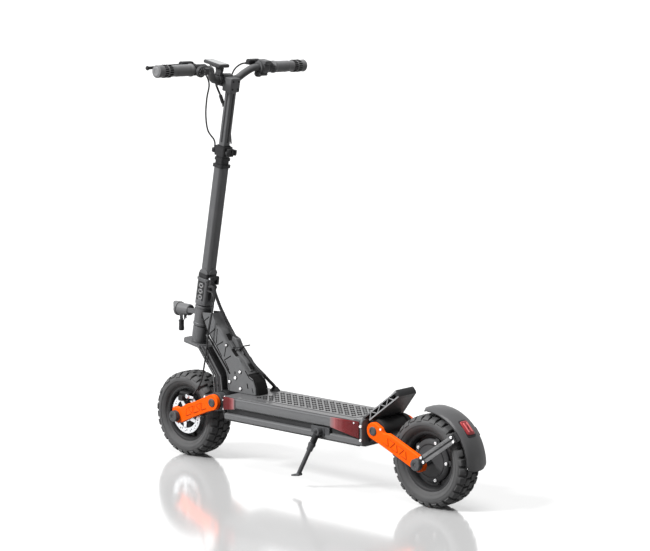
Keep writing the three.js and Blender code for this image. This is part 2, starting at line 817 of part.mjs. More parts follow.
// The sleeve and its clamp hold the height of the upper tube.
const CLAMP = { low: 924, high: 956 };

function heightClamp() {
  const sleeve = prismZ(roundedRect(31.4, 31.4, 6.7), 866, CLAMP.high);
  const band = prismZ(roundedRect(42, 38, 8), CLAMP.low, CLAMP.high);
  const ears = block([-31, -11, CLAMP.low + 4], [-18, 11, CLAMP.high - 4]);
  const guide = cut(rodZ(8, 25, 12, 934, 942, 16), rodZ(4.5, 25, 12, 930, 946, 16));
  const bore = prismZ(roundedRect(UPPER_SIDE + 0.6, UPPER_SIDE + 0.6, UPPER_CORNER), 850, 970);
  const split = block([-40, -1.5, CLAMP.low - 1], [-10, 1.5, CLAMP.high + 1]);
  return cut(join(sleeve, band, ears, guide), bore, split);
}

add("height_clamp", heightClamp(), "casting", stemFrame);

const QUICK_LEVER = { x: -28, y: -18.5, s: 940 };
add(
  "clamp_lever",
  join(
    rodZ(6, QUICK_LEVER.x, QUICK_LEVER.y, QUICK_LEVER.s - 8, QUICK_LEVER.s + 8, 16),
    block(
      [QUICK_LEVER.x, QUICK_LEVER.y - 6, QUICK_LEVER.s - 6],
      [QUICK_LEVER.x + 42, QUICK_LEVER.y - 2, QUICK_LEVER.s + 6],
    ),
  ),
  "casting",
  stemFrame,
);

// ---- Upper tube and handlebar ----

function upperTube() {
  const outer = prismZ(roundedRect(UPPER_SIDE, UPPER_SIDE, UPPER_CORNER), UPPER_LOW, UPPER_HIGH);
  const box = block([-17, -19, 1116], [20, 19, 1158]);
  const ring = rodY(19, BAR_CENTRE.x, BAR_CENTRE.s, -19, 19, 24);
  const inner = prismZ(roundedRect(UPPER_SIDE - 5, UPPER_SIDE - 5, 4), UPPER_LOW - 1, UPPER_HIGH - 20);
  const barHole = rodY(BAR_RADIUS + GAP + 0.2, BAR_CENTRE.x, BAR_CENTRE.s, -30, 30, 24);
  return cut(join(outer, box, ring), inner, barHole);
}

add("upper_tube", upperTube(), "paint", stemFrame);

const BAR_HALF = [
  [BAR_CENTRE.x, 0, BAR_CENTRE.s],
  [BAR_CENTRE.x, 32, BAR_CENTRE.s],
  [28, 50, 1149],
  [21, 68, 1165],
  [10, 84, 1180],
  [GRIP.x, 98, GRIP.s],
  [GRIP.x, 112, GRIP.s],
  [GRIP.x, 200, GRIP.s],
  [GRIP.x, 297, GRIP.s],
];
const PERCH = { inner: 138, outer: 156, pivotX: 46, pivotY: 132, s: 1188 };

// The bar, with the clamp rings that carry the brake levers and the throttle.
function handlebar() {
  const right = BAR_HALF.map(([x, y, s]) => [x, -y, s]).reverse();
  const bent = tube([...right, ...BAR_HALF.slice(1)], BAR_RADIUS, 34, 8);
  const perches = [1, -1].map((side) => {
    const ring = [side * PERCH.inner, side * PERCH.outer].sort((a, b) => a - b);
    const arm = [side * 120, side * PERCH.outer].sort((a, b) => a - b);
    return join(
      rodY(16, GRIP.x, GRIP.s, ...ring, 20),
      block([GRIP.x + 8, ring[0], PERCH.s - 9], [PERCH.pivotX, ring[1], PERCH.s - 5]),
      block([PERCH.pivotX - 21, arm[0], PERCH.s - 9], [PERCH.pivotX + 5, arm[1], PERCH.s - 5]),
      rodZ(3, PERCH.pivotX, side * PERCH.pivotY, PERCH.s - 9, PERCH.s + 8, 12),
    );
  });
  const throttleBody = rodY(21, GRIP.x, GRIP.s, -136, -111, 20);
  return join(bent, ...perches, throttleBody);
}

add("handlebar", handlebar(), "casting", stemFrame);

for (const [side, word] of [
  [1, "left"],
  [-1, "right"],
]) {
  const span = [side * GRIP.inner, side * (GRIP.outer + 1)].sort((a, b) => a - b);
  const bore = [side * 150, side * (GRIP.outer - 2.5)].sort((a, b) => a - b);
  const grip = cut(
    rodY(GRIP.radius, GRIP.x, GRIP.s, ...span, 20),
    rodY(BAR_RADIUS + GAP + 0.1, GRIP.x, GRIP.s, ...bore, 20),
  );
  add("grip_" + word, grip, "rubber", stemFrame);

  const path = [
    [PERCH.pivotX, side * (PERCH.pivotY - 6), PERCH.s],
    [PERCH.pivotX + 6, side * 160, PERCH.s],
    [PERCH.pivotX + 14, side * 200, PERCH.s - 3],
    [PERCH.pivotX + 14, side * 250, PERCH.s - 5],
    [PERCH.pivotX + 12, side * 288, PERCH.s - 6],
  ];
  const lever = cut(
    join(tube(path, 5, 14), rodZ(8, PERCH.pivotX, side * PERCH.pivotY, PERCH.s - 4.5, PERCH.s + 5, 16)),
    rodZ(3 + GAP, PERCH.pivotX, side * PERCH.pivotY, PERCH.s - 20, PERCH.s + 20, 12),
  );
  add("brake_lever_" + word, lever, "casting", stemFrame);
}

// The thumb throttle swings about the bar, below and behind its housing.
add(
  "throttle_paddle",
  cut(
    join(
      rodY(17, GRIP.x, GRIP.s, -110, -104, 20),
      block([GRIP.x - 6, -110, GRIP.s - 40], [GRIP.x + 6, -104, GRIP.s - 13]),
    ),
    rodY(BAR_RADIUS + 1.5, GRIP.x, GRIP.s, -115, -98),
  ),
  "plastic",
  stemFrame,
);

// The switch pod's ring is inboard of the lever's perch. An arm carries its round face, with a push
// button in the middle, out to the thumb beside the grip.
const POD = { y: 152, radius: 15.5, front: -14, rear: -26, ringInner: 112, ringOuter: 137.5 };
function switchPod() {
  const ring = rodY(16, GRIP.x, GRIP.s, POD.ringInner, POD.ringOuter, 20);
  const face = rodX(POD.radius, POD.y, GRIP.s, POD.rear, POD.front, 24);
  const arm = block([-20, POD.ringInner + 4, GRIP.s - 9], [-2, POD.ringOuter, GRIP.s + 9]);
  const link = block([-20, POD.ringOuter - 4, GRIP.s - 9], [POD.front, POD.y, GRIP.s + 9]);
  const barHole = rodY(BAR_RADIUS + GAP + 0.2, GRIP.x, GRIP.s, POD.ringInner - 20, POD.ringOuter + 20, 20);
  const well = rodX(7.5, POD.y, GRIP.s, POD.rear - 1, POD.rear + 6, 16);
  return cut(join(ring, arm, link, face), barHole, well);
}

add("switch_pod", switchPod(), "plastic", stemFrame);
add("horn_button", rodX(7, POD.y, GRIP.s, POD.rear - 3, POD.rear + 3.5, 16), "steel", stemFrame);

// The display stands over the bar on a short bracket, and leans back towards the rider.
const SCREEN = { x: 48, y: 24, s: 1190, length: 72, width: 42, thickness: 9, lean: 2 * DEG };
function display() {
  const screen = new THREE.BoxGeometry(SCREEN.length, SCREEN.width, SCREEN.thickness)
    .rotateY(-SCREEN.lean)
    .translate(SCREEN.x, SCREEN.y, SCREEN.s);
  const post = block([20, 22, BAR_CENTRE.s + 10], [38, 32, 1188]);
  const ring = rodY(16, BAR_CENTRE.x, BAR_CENTRE.s, 22, 32, 20);
  const barHole = rodY(BAR_RADIUS + GAP + 0.6, BAR_CENTRE.x, BAR_CENTRE.s, 15, 40, 20);
  return cut(join(screen, post, ring), barHole);
}

add("display", display(), "plastic", stemFrame);

// ---- Cables on the handlebar and the stem ----

const BRAKE_CABLE_LEFT = [
  [54, 112, 1187],
  [60, 84, 1182],
  [58, 56, 1160],
  [56, 36, 1128],
  [66, 28, 1083],
  [66, 24, 1034],
  [54, 20, 990],
  [30, 13.5, 966],
  [25, 12, 946],
  [25, 12, 930],
];
const BRAKE_CABLE_RIGHT = [
  [54, -112, 1187],
  [56, -84, 1183],
  [50, -52, 1165],
  [44, -34, 1120],
  [34, -38, 1060],
  [25, -37, 1013],
  [12, -34, 980],
  [0, -28, 960],
];
const DISPLAY_CABLE = [
  [40, 12, 1180],
  [52, 17, 1160],
  [48, 16, 1130],
  [31, 10, 1100],
  [23, 6, 1084],
  [18.5, 4, 1068],
];
add("brake_cable_left", tube(BRAKE_CABLE_LEFT, CABLE_RADIUS, 32), "rubber", stemFrame);
add("brake_cable_right", tube(BRAKE_CABLE_RIGHT, CABLE_RADIUS, 24), "rubber", stemFrame);
add("display_cable", tube(DISPLAY_CABLE, 3.5, 20), "rubber", stemFrame);

export default root;
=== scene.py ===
"""The looks of the electric kick scooter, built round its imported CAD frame.

Lengths below are millimetres in the frame's own axes, and become metres when a mesh is made. A list of
pairs is an outline or a turned profile, and the numbers beside it are the part's own sizes.
"""

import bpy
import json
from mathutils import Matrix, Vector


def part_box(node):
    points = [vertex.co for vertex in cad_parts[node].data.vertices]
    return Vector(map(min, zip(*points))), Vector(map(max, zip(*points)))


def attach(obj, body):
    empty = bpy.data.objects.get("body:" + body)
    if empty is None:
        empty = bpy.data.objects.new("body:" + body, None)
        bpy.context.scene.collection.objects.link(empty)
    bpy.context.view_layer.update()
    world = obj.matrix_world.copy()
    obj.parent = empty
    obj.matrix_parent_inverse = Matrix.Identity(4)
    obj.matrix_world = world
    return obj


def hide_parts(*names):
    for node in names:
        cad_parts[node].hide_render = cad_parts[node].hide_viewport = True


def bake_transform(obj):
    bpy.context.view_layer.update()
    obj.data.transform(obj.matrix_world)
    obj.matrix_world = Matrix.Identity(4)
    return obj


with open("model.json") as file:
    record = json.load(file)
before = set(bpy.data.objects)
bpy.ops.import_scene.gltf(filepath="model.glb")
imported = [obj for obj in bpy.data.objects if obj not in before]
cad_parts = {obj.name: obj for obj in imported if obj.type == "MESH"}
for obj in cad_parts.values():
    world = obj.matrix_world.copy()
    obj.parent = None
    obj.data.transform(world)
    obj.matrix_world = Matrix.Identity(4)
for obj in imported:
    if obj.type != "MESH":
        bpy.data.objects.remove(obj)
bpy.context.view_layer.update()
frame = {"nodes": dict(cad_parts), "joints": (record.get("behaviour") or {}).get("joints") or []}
import json
from math import cos, pi, radians, sin, tau

import bmesh
import bpy
from mathutils import Matrix, Vector

MM = 0.001

# ---- Places, all worked out from the CAD nodes and joints ----


def corners(node):
    low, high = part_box(node)
    return low / MM, high / MM


def centre(node):
    low, high = corners(node)
    return (low + high) / 2


def pivot(joint):
    return Vector(JOINTS[joint]["pos_m"]) / MM


JOINTS = {joint["name"]: joint for joint in frame["joints"]}
UP = Vector((0, 0, 1))
LEFT = Vector((0, 1, 0))
AHEAD = Vector((1, 0, 0))
SIDES = ((1, "left"), (-1, "right"))
FRONT_AXLE = centre("front_axle")
REAR_AXLE = centre("rear_axle")
FRONT_PIVOT = pivot("front_suspension")
REAR_PIVOT = pivot("rear_suspension")
DECK_LOW, DECK_HIGH = corners("deck_frame")
LID_TOP = corners("deck_lid")[1].z
MAT_LOW, MAT_HIGH = corners("grip_mat")
NECK = corners("neck_frame")[0]

# The stem's own frame: X forward, Y left and S up the steering axis, from where that meets the floor.
STEER_AXIS = Vector(JOINTS["steer"]["axis"])
STEER_FOOT = pivot("steer") - STEER_AXIS * (pivot("steer").z / STEER_AXIS.z)
STEM_AHEAD = LEFT.cross(STEER_AXIS)


def stem(x, y, s):
    return STEER_FOOT + STEM_AHEAD * x + LEFT * y + STEER_AXIS * s


def stem_side(a, b, t):
    return stem(a, t, b)


def stem_rear(a, b, t):
    return stem(t, a, b)


# ---- Solids ----


class Solid:
    """Points and the faces between them, gathered before they become one mesh."""

    def __init__(self):
        self.points = []
        self.faces = []

    def add(self, points, faces):
        first = len(self.points)
        self.points += [Vector(p) for p in points]
        self.faces += [[i + first for i in face] for face in faces]
        return self

    def join(self, *others):
        for other in others:
            self.add(other.points, other.faces)
        return self

    def turned(self, angle, axis, about=(0, 0, 0)):
        turn = Matrix.Rotation(angle, 3, Vector(axis))
        about = Vector(about)
        made = Solid()
        made.points = [about + turn @ (p - about) for p in self.points]
        made.faces = self.faces
        return made

    def mirrored(self):
        """The same solid on the other side of the scooter."""
        made = Solid()
        made.points = [Vector((p.x, -p.y, p.z)) for p in self.points]
        made.faces = [face[::-1] for face in self.faces]
        return made

    def on(self, side):
        """This solid, made for the left, on the side given: 1 is left and -1 is right."""
        return self if side > 0 else self.mirrored()


def loft(rings, loop=False):
    """Quads between rings of equal length, with caps at both ends unless the rings close on themselves."""
    count = len(rings[0])
    faces = []
    pairs = len(rings) if loop else len(rings) - 1
    for r in range(pairs):
        a, b = r * count, (r + 1) % len(rings) * count
        faces += [[a + i, a + (i + 1) % count, b + (i + 1) % count, b + i] for i in range(count)]
    if not loop:
        last = (len(rings) - 1) * count
        faces += [list(range(count))[::-1], list(range(last, last + count))]
    return Solid().add([p for ring in rings for p in ring], faces)


def inset(outline, amount):
    """The outline moved inwards, corner by corner."""
    points = [Vector(p) for p in outline]
    count = len(points)
    area = sum(points[i - 1].x * points[i].y - points[i].x * points[i - 1].y for i in range(count))
    side = 1 if area > 0 else -1
    made = []
    for i, here in enumerate(points):
        into = (here - points[i - 1]).normalized()
        away = (points[(i + 1) % count] - here).normalized()
        normal = Vector((-into.y, into.x)) * side
        mitre = normal + Vector((-away.y, away.x)) * side
        made.append(here + mitre * (amount / max(0.4, mitre.dot(normal))))
    return made


def rounded(outline, radius, steps=4):
    """The outline with each corner replaced by a curve that starts at most radius from it."""
    points = [Vector(p) for p in outline]
    made = []
    for i, here in enumerate(points):
        before, after = points[i - 1] - here, points[(i + 1) % len(points)] - here
        start = here + before.normalized() * min(radius, before.length * 0.48)
        end = here + after.normalized() * min(radius, after.length * 0.48)
        for k in range(steps + 1):
            t = k / steps
            made.append(start * (1 - t) ** 2 + here * (2 * t * (1 - t)) + end * t ** 2)
    return made


def on_side(side, near, far):
    """Two distances from the middle plane, on the side given, the lower first."""
    return sorted((side * near, side * far))


def side_on(a, b, t):
    return Vector((a, t, b))


def from_above(a, b, t):
    return Vector((a, b, t))


def across(a, b, t):
    return Vector((t, a, b))


def slab(outline, low, high, chamfer=0.8, put=side_on):
    """An outline given a thickness from low to high, with chamfered edges."""
    full, less = [Vector(p) for p in outline], inset(outline, chamfer)
    levels = [(less, low), (full, low + chamfer), (full, high - chamfer), (less, high)]
    return loft([[put(p.x, p.y, t) for p in ring] for ring, t in levels])


def sleeve(outer, inner, low, high, put):
    """A length of tube between two outlines that have the same number of points."""
    ends = ((outer, low), (outer, high), (inner, high), (inner, low))
    return loft([[put(*point, t) for point in outline] for outline, t in ends], loop=True)


def rectangle(x0, y0, x1, y1):
    return [(x0, y0), (x1, y0), (x1, y1), (x0, y1)]


def beside(at, points):
    """Side-view points, measured from a place."""
    return [(at.x + a, at.z + b) for a, b in points]


def both_sides(half):
    """(along, y) points, and the same on the other side of the middle plane in the opposite order."""
    return half + [(a, -y) for a, y in reversed(half)]


def both_ends(start, width):
    """The profile of a turned part whose two ends are alike."""
    return start + [(radius, width - along) for radius, along in reversed(start)]


def soft_slab(outline, radius, steps, *rest):
    """A slab whose outline has its corners rounded first."""
    return slab(rounded(outline, radius, steps), *rest)


def tile(box, radius, steps, *rest):
    """A slab over a rectangle (x0, y0, x1, y1) with rounded corners."""
    return soft_slab(rectangle(*box), radius, steps, *rest)


def strip(start, end, width, low, high, put=from_above):
    """A flat bar between two points."""
    a, b = Vector(start), Vector(end)
    side = (b - a).normalized() * (width / 2)
    side = Vector((-side.y, side.x))
    return slab([a - side, b - side, b + side, a + side], low, high, min(0.3, (high - low) / 3), put)


def square_to(direction):
    """Two directions square to the one given and to each other."""
    direction = direction.normalized()
    other = LEFT if abs(direction.dot(LEFT)) < 0.9 else AHEAD
    a = other.cross(direction).normalized()
    return a, direction.cross(a)


def turned_on(start, direction, profile, sides=32, loop=False):
    """A profile of (radius, distance along) points turned about a line."""
    direction = Vector(direction).normalized()
    a, b = square_to(direction)
    rings = []
    for radius, along in profile:
        middle = Vector(start) + direction * along
        rings.append(
            [middle + (a * cos(tau * i / sides) + b * sin(tau * i / sides)) * radius for i in range(sides)]
        )
    return loft(rings, loop)


def hoop(bore, radius, width, bevel):
    """The profile of a ring with bevelled edges, for turned_on."""
    return both_ends([(bore, 0), (radius - bevel, 0), (radius, 1)], width)


def rod(start, end, radius, sides=24, chamfer=0.6):
    start, end = Vector(start), Vector(end)
    length = (end - start).length
    return turned_on(start, end - start, both_ends([(radius - chamfer, 0), (radius, chamfer)], length), sides)


def bolt(place, direction, radius=4.0, height=2.6, sides=18):
    """A button-head bolt with a socket in its head."""
    profile = [(radius, -0.5), (radius, height * 0.5), (radius * 0.8, height * 0.9), (radius * 0.48, height)]
    profile += [(radius * 0.42, height * 0.98), (radius * 0.4, height * 0.35)]
    return turned_on(place, direction, profile, sides)


def curve_through(points, steps=8):
    """A smooth line through the points."""
    points = [Vector(p) for p in points]
    padded = [points[0] * 2 - points[1], *points, points[-1] * 2 - points[-2]]
    made = []
    for i in range(1, len(padded) - 2):
        p0, p1, p2, p3 = padded[i - 1 : i + 3]
        for k in range(steps):
            t = k / steps
            made.append(
                0.5 * (2 * p1 + (p2 - p0) * t + (2 * p0 - 5 * p1 + 4 * p2 - p3) * t ** 2
                       + (3 * p1 - p0 - 3 * p2 + p3) * t ** 3)
            )
    return [*made, points[-1]]


def sweep(line, radius, sides=12):
    """A tube along a line; radius is a number or a function of the share of the way along."""
    line = [Vector(p) for p in line]
    rings, a = [], None
    for i, here in enumerate(line):
        along = (line[min(i + 1, len(line) - 1)] - line[max(i - 1, 0)]).normalized()
        a = square_to(along)[0] if a is None else (a - along * a.dot(along)).normalized()
        b = along.cross(a)
        r = radius(i / (len(line) - 1)) if callable(radius) else radius
        turns = [tau * k / sides for k in range(sides)]
        rings.append([here + (a * cos(turn) + b * sin(turn)) * r for turn in turns])
    return loft(rings)


# ---- Materials ----

# The room is bright in reflections, so a low specular level keeps the black parts dark.
SPECULAR = 0.12
COAT_ROUGHNESS = 0.12
PATCH_SCALE = 28
GRAIN_HEIGHT = 0.0004
ROUGHNESS_SPREAD = 0.07


def shader_tree(owner):
    """The nodes and the links of a material or a world."""
    owner.use_nodes = True
    return owner.node_tree.nodes, owner.node_tree.links


def add_node(nodes, kind, **values):
    """A new shader node, with the values of its inputs by name."""
    made = nodes.new("ShaderNode" + kind)
    for name, value in values.items():
        made.inputs[name.replace("_", " ")].default_value = value
    return made


def surface(
    name, colour, roughness, metallic=0.0, grain=1500, bump=0.12, mottle=0.14, coat=0.0, stretch=(1, 1, 1),
):
    """A finish with fine grain in its height, and broad patches in its colour and its roughness."""
    material = bpy.data.materials.new(name)
    nodes, links = shader_tree(material)
    shader = nodes["Principled BSDF"]
    shader.inputs["Metallic"].default_value = metallic
    shader.inputs["Coat Weight"].default_value = coat
    shader.inputs["Coat Roughness"].default_value = COAT_ROUGHNESS
    shader.inputs["Specular IOR Level"].default_value = SPECULAR
    place = add_node(nodes, "TexCoord")
    mapping = add_node(nodes, "Mapping", Scale=stretch)
    links.new(place.outputs["Object"], mapping.inputs["Vector"])

    def noise(scale, detail):
        made = add_node(nodes, "TexNoise", Scale=scale, Detail=detail)
        links.new(mapping.outputs["Vector"], made.inputs["Vector"])
        return made.outputs["Fac"]

    broad, fine = noise(PATCH_SCALE, 4), noise(grain, 2)
    tint = add_node(nodes, "Mix")
    tint.data_type = "RGBA"
    tint.inputs["A"].default_value = (*[c * (1 - mottle) for c in colour], 1)
    tint.inputs["B"].default_value = (*[min(1, c * (1 + mottle)) for c in colour], 1)
    links.new(broad, tint.inputs["Factor"])
    links.new(tint.outputs["Result"], shader.inputs["Base Color"])
    spread = add_node(
        nodes, "MapRange", To_Min=roughness - ROUGHNESS_SPREAD, To_Max=roughness + ROUGHNESS_SPREAD,
    )
    links.new(broad, spread.inputs["Value"])
    links.new(spread.outputs["Result"], shader.inputs["Roughness"])
    height = add_node(nodes, "Bump", Strength=bump, Distance=GRAIN_HEIGHT)
    links.new(fine, height.inputs["Height"])
    links.new(height.outputs["Normal"], shader.inputs["Normal"])
    return material


PAINT = surface("dark_powder_coat", (0.06, 0.061, 0.064), 0.45, 0.12, 2200, 0.2)
STEM_PAINT = surface("stem_powder_coat", (0.098, 0.099, 0.102), 0.45, 0.15, 2200, 0.2)
NECK_PAINT = surface("neck_powder_coat", (0.115, 0.117, 0.12), 0.5, 0.1, 2000, 0.25)
BLACK = surface("black_coated_metal", (0.022, 0.022, 0.023), 0.5, 0.1, 1800, 0.2)
TREAD = surface("anodised_tread", (0.095, 0.095, 0.097), 0.5, 0.2, 1600, 0.1, coat=0.52, stretch=(0.3, 1, 1))
DECK_SIDE = surface("deck_extrusion", (0.115, 0.116, 0.119), 0.5, 0.15, 1400, 0.12, stretch=(0.05, 1, 1))
ORANGE = surface("orange_powder_coat", (0.85, 0.1, 0.001), 0.5, 0.0, 1900, 0.16, 0.05)
PLASTIC = surface("moulded_plastic", (0.05, 0.05, 0.052), 0.5, 0.0, 2600, 0.3)
FENDER_PLASTIC = surface("fender_plastic", (0.068, 0.068, 0.07), 0.46, 0.0, 1700, 0.2, coat=0.25)
RUBBER = surface("soft_rubber", (0.035, 0.035, 0.036), 0.72, 0.0, 1500, 0.35)
TYRE = surface("tyre_rubber", (0.082, 0.082, 0.083), 0.6, 0.0, 1100, 0.35, 0.2)
STEEL = surface("ground_steel", (0.62, 0.63, 0.65), 0.3, 1.0, 900, 0.1, 0.08)
ZINC = surface("bright_bolt", (0.9, 0.9, 0.91), 0.3, 0.35, 900, 0.08, 0.05)
ALUMINIUM = surface("cast_aluminium", (0.55, 0.56, 0.58), 0.45, 0.9, 800, 0.3)
WRAP = surface("battery_wrap", (0.03, 0.09, 0.28), 0.35, 0.0, 500, 0.1)
GREY_METAL = surface("grey_anodised", (0.2, 0.2, 0.205), 0.4, 0.5, 1500, 0.15)
CABLE = surface("cable_sheath", (0.03, 0.03, 0.031), 0.5, 0.0, 2000, 0.2)
RED = surface("red_lens", (0.26, 0.026, 0.03), 0.2, 0.0, 420, 0.25, 0.3, coat=0.2)
PALE_RED = surface("red_reflector", (0.62, 0.13, 0.13), 0.25, 0.0, 420, 0.3, 0.3, coat=0.6)
# The display glass is pale grey: a painted reflection of the white room on a dark screen.
SCREEN_GLASS_PAINTED_SHEEN = surface("screen_glass_painted_sheen", (0.3, 0.305, 0.31), 0.2, 0.0, 60, 0.02, 0.1, coat=0.4)
# A darker orange that is painted shade along the edges of the arms' sunk triangles.
ORANGE_PAINTED_SHADE = surface("orange_painted_shade", (0.46, 0.032, 0.001), 0.5, 0.0, 1900, 0.16, 0.05)
STRUT_METAL = surface("strut_anodised", (0.13, 0.13, 0.132), 0.4, 0.5, 1500, 0.15)
HEADLIGHT_PLASTIC = surface("headlight_plastic", (0.13, 0.131, 0.134), 0.42, 0.0, 2400, 0.25)
GRIP_RUBBER = surface("grip_rubber", (0.19, 0.19, 0.193), 0.55, 0.0, 1500, 0.35)
# A near-black that is painted shade: it fills slots, pressed lines, openings and the neck's dark foot.
PAINTED_SHADE_BLACK = surface("painted_shade_black", (0.008, 0.008, 0.008), 0.9, 0.0, 1500, 0.2)
HOUSING_PLASTIC = surface("housing_plastic", (0.11, 0.111, 0.114), 0.45, 0.0, 2400, 0.25)
COVER_PLASTIC = surface("cover_plastic", (0.1, 0.101, 0.103), 0.5, 0.0, 1700, 0.3)
DEEP_RED = surface("deep_red_lens", (0.1, 0.008, 0.01), 0.25, 0.0, 420, 0.25, 0.3, coat=0.2)
PALE_MARK = surface("pale_mark", (0.32, 0.32, 0.325), 0.5, 0.0, 900, 0.1)
LENS = surface("lamp_lens", (0.75, 0.77, 0.8), 0.12, 0.0, 300, 0.4, 0.1, coat=0.9)


def fading_lens(name, node, dark_in_front):
    """A red lens that fades along its node from deep red at its dark end to a smoky pink."""
    low, high = corners(node)
    dark_end, clear_end = (high.x, low.x) if dark_in_front else (low.x, high.x)
    material = surface(name, (0.2, 0.02, 0.022), 0.22, 0.0, 420, 0.25, 0.25, coat=0.15)
    nodes, links = shader_tree(material)
    place = add_node(nodes, "TexCoord")
    split = add_node(nodes, "SeparateXYZ")
    links.new(place.outputs["Object"], split.inputs["Vector"])
    share = add_node(nodes, "MapRange", From_Min=dark_end * MM, From_Max=clear_end * MM)
    links.new(split.outputs["X"], share.inputs["Value"])
    ramp = add_node(nodes, "ValToRGB")
    ramp.color_ramp.elements[0].color = (0.085, 0.006, 0.007, 1)
    ramp.color_ramp.elements[1].color = (0.2, 0.165, 0.168, 1)
    ramp.color_ramp.elements.new(0.5).color = (0.15, 0.011, 0.013, 1)
    ramp.color_ramp.elements.new(0.82).color = (0.32, 0.1, 0.104, 1)
    links.new(share.outputs["Result"], ramp.inputs["Fac"])
    links.new(ramp.outputs["Color"], nodes["Principled BSDF"].inputs["Base Color"])
    return material


FRONT_FADE = fading_lens("front_side_lens", "side_light_front_left", True)
REAR_FADE = fading_lens("rear_side_lens", "side_light_rear_left", False)


def piece(name, solid, material, body, replaces=(), smooth=32):
    """One named piece of the scooter, which moves with a CAD body and may stand for CAD nodes."""
    mesh = bpy.data.meshes.new(name)
    mesh.from_pydata([p * MM for p in solid.points], [], solid.faces)
    work = bmesh.new()
    work.from_mesh(mesh)
    bmesh.ops.recalc_face_normals(work, faces=work.faces)
    work.to_mesh(mesh)
    work.free()
    mesh.shade_smooth()
    mesh.set_sharp_from_angle(angle=radians(smooth))
    mesh.materials.append(material)
    made = bpy.data.objects.new(name, mesh)
    bpy.context.scene.collection.objects.link(made)
    if isinstance(body, str):
        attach(made, body)
    else:
        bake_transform(made)
    if replaces:
        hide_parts(*replaces)
    return made


# ---- Camera ----

CAMERA_AIM = Vector((-48.85, 0, 594.3))
CAMERA_DISTANCE = 5869.7
CAMERA_TURN = radians(42.42)
CAMERA_RISE = radians(7.996)
LENS_MM = 115.4
SENSOR_MM = 36


def make_camera():
    camera = bpy.data.objects.new("camera", bpy.data.cameras.new("camera"))
    flat = cos(CAMERA_RISE)
    back = Vector((-sin(CAMERA_TURN) * flat, cos(CAMERA_TURN) * flat, sin(CAMERA_RISE)))
    camera.location = (CAMERA_AIM + back * CAMERA_DISTANCE) * MM
    camera.rotation_euler = back.to_track_quat("Z", "Y").to_euler()
    camera.data.lens = LENS_MM
    camera.data.sensor_width = SENSOR_MM
    bpy.context.scene.collection.objects.link(camera)
    bpy.context.scene.camera = camera


make_camera()

# ---- Cables: the routes of the CAD nodes that they replace ----


def stem_line(points):
    return curve_through([stem(*p) for p in points])


def make_cables():
    harness = curve_through([
        (402.5, 15, 519), (386, 15, 518), (374, 12, 490), (364, 4, 456), (340, -5, 408), (317, -6, 378),
        (283, -8, 345), (258, -7, 319), (235, -9, 297), (211, -16, 276), (208, -38, 254), (214, -62, 237),
        (217, -72, 227), (217, -72, 220),
    ], 20)
    ribbed = sweep(harness, lambda t: 4.4 + 0.75 * abs(sin(t * pi * 72)), 12)
    piece("harness_wrap", ribbed, CABLE, ("deck", "steering", (0.27, -0.008, 0.33), (0.38, 0.014, 0.5)),
          ["wiring_harness"], 60)
    front = curve_through([
        (402, 20.5, 508), (372, 30, 502), (362, 38, 470), (378, 40, 400), (396, 41, 300), (410, 44, 238),
        (430, 47, 206), (441, 47, 196),
    ], 12)
    piece("front_brake_hose", sweep(front, 2.4), CABLE,
          ("steering", "front_suspension", (0.396, 0.041, 0.33), (0.43, 0.047, 0.206)),
          ["front_brake_cable"], 60)
    left = stem_line([
        (54, 112, 1187), (60, 84, 1182), (58, 56, 1160), (56, 36, 1128), (66, 28, 1083), (66, 24, 1034),
        (54, 20, 990), (30, 13.5, 966), (25, 12, 946), (25, 12, 930),
    ])
    piece("left_brake_hose", sweep(left, 2.4), CABLE,
          ("stem", "handlebar", stem(40, 16, 975) * MM, stem(56, 36, 1128) * MM),
          ["brake_cable_left"], 60)
    right = stem_line([
        (54, -112, 1187), (56, -84, 1183), (50, -52, 1165), (44, -34, 1120), (34, -38, 1060), (25, -37, 1013),
        (12, -34, 980), (0, -28, 960),
    ])
    piece("right_brake_hose", sweep(right, 2.4), CABLE,
          ("stem", "handlebar", stem(12, -34, 975) * MM, stem(44, -34, 1120) * MM),
          ["brake_cable_right"], 60)
    display = stem_line(
        [(40, 12, 1180), (52, 17, 1160), (48, 16, 1130), (31, 10, 1100), (23, 6, 1084), (18.5, 4, 1068)]
    )
    piece("display_lead", sweep(display, 3.2), CABLE, "handlebar", ["display_cable"], 60)
    plug = display[len(display) // 2 + 4], display[-6]
    piece("display_plug", rod(plug[0], plug[1], 5.2, 16), RUBBER, "handlebar")


make_cables()

# ---- Wheels ----


def round_axle(turn):
    """The way out from an axle at a turn from straight ahead, upwards first."""
    return Vector((cos(turn), 0, sin(turn)))


def ring_at(axle, section, turn):
    """(radius, y) points of a section placed at a turn about an axle."""
    return [axle + round_axle(turn) * r + LEFT * y for r, y in section]


KNOBS_ROUND = 30
# (radius, y) points of one side of the tyre's carcass, from the bead to the tread.
WALL = [
    (80.5, 26), (84, 30), (89, 35), (96, 40.5), (104, 42.6), (110, 42), (115.5, 38.5), (119, 32), (121, 22),
    (121.6, 10),
]


def tyre_carcass(axle):
    profile = both_sides([(r, -y) for r, y in WALL])
    return turned_on(axle, LEFT, [*profile, (79, 24), (79, -24)], 120, loop=True)


def knob(axle, start, end, section):
    """A tread block between two turns about the axle; section is (radius, y) points, outer line first."""
    outer, inner = section
    rings = []
    for share in (0, 0.12, 0.88, 1):
        turn = start + (end - start) * share
        lift = -1.0 if share in (0, 1) else 0.0
        ring = [(r + lift, y) for r, y in outer] + [(r, y) for r, y in reversed(inner)]
        rings.append(ring_at(axle, ring, turn))
    return loft(rings)


# Each block of the tread: the (radius, y) points of its outer line, then of its inner line.
SHOULDER = (
    [(126.6, 20), (125.6, 31), (121, 39), (112.5, 43.4)], [(119, 20), (118, 31), (114, 37.5), (111.5, 41)],
)
SHORT_SHOULDER = (
    [(126.6, 24), (125.6, 31), (120.5, 38), (117, 41)], [(119, 24), (118, 31), (114, 37), (113, 38.6)],
)
CENTRE_BLOCK = ([(127.4, 1.8), (127.5, 9), (127.1, 17)], [(120, 1.8), (120, 9), (119, 17)])


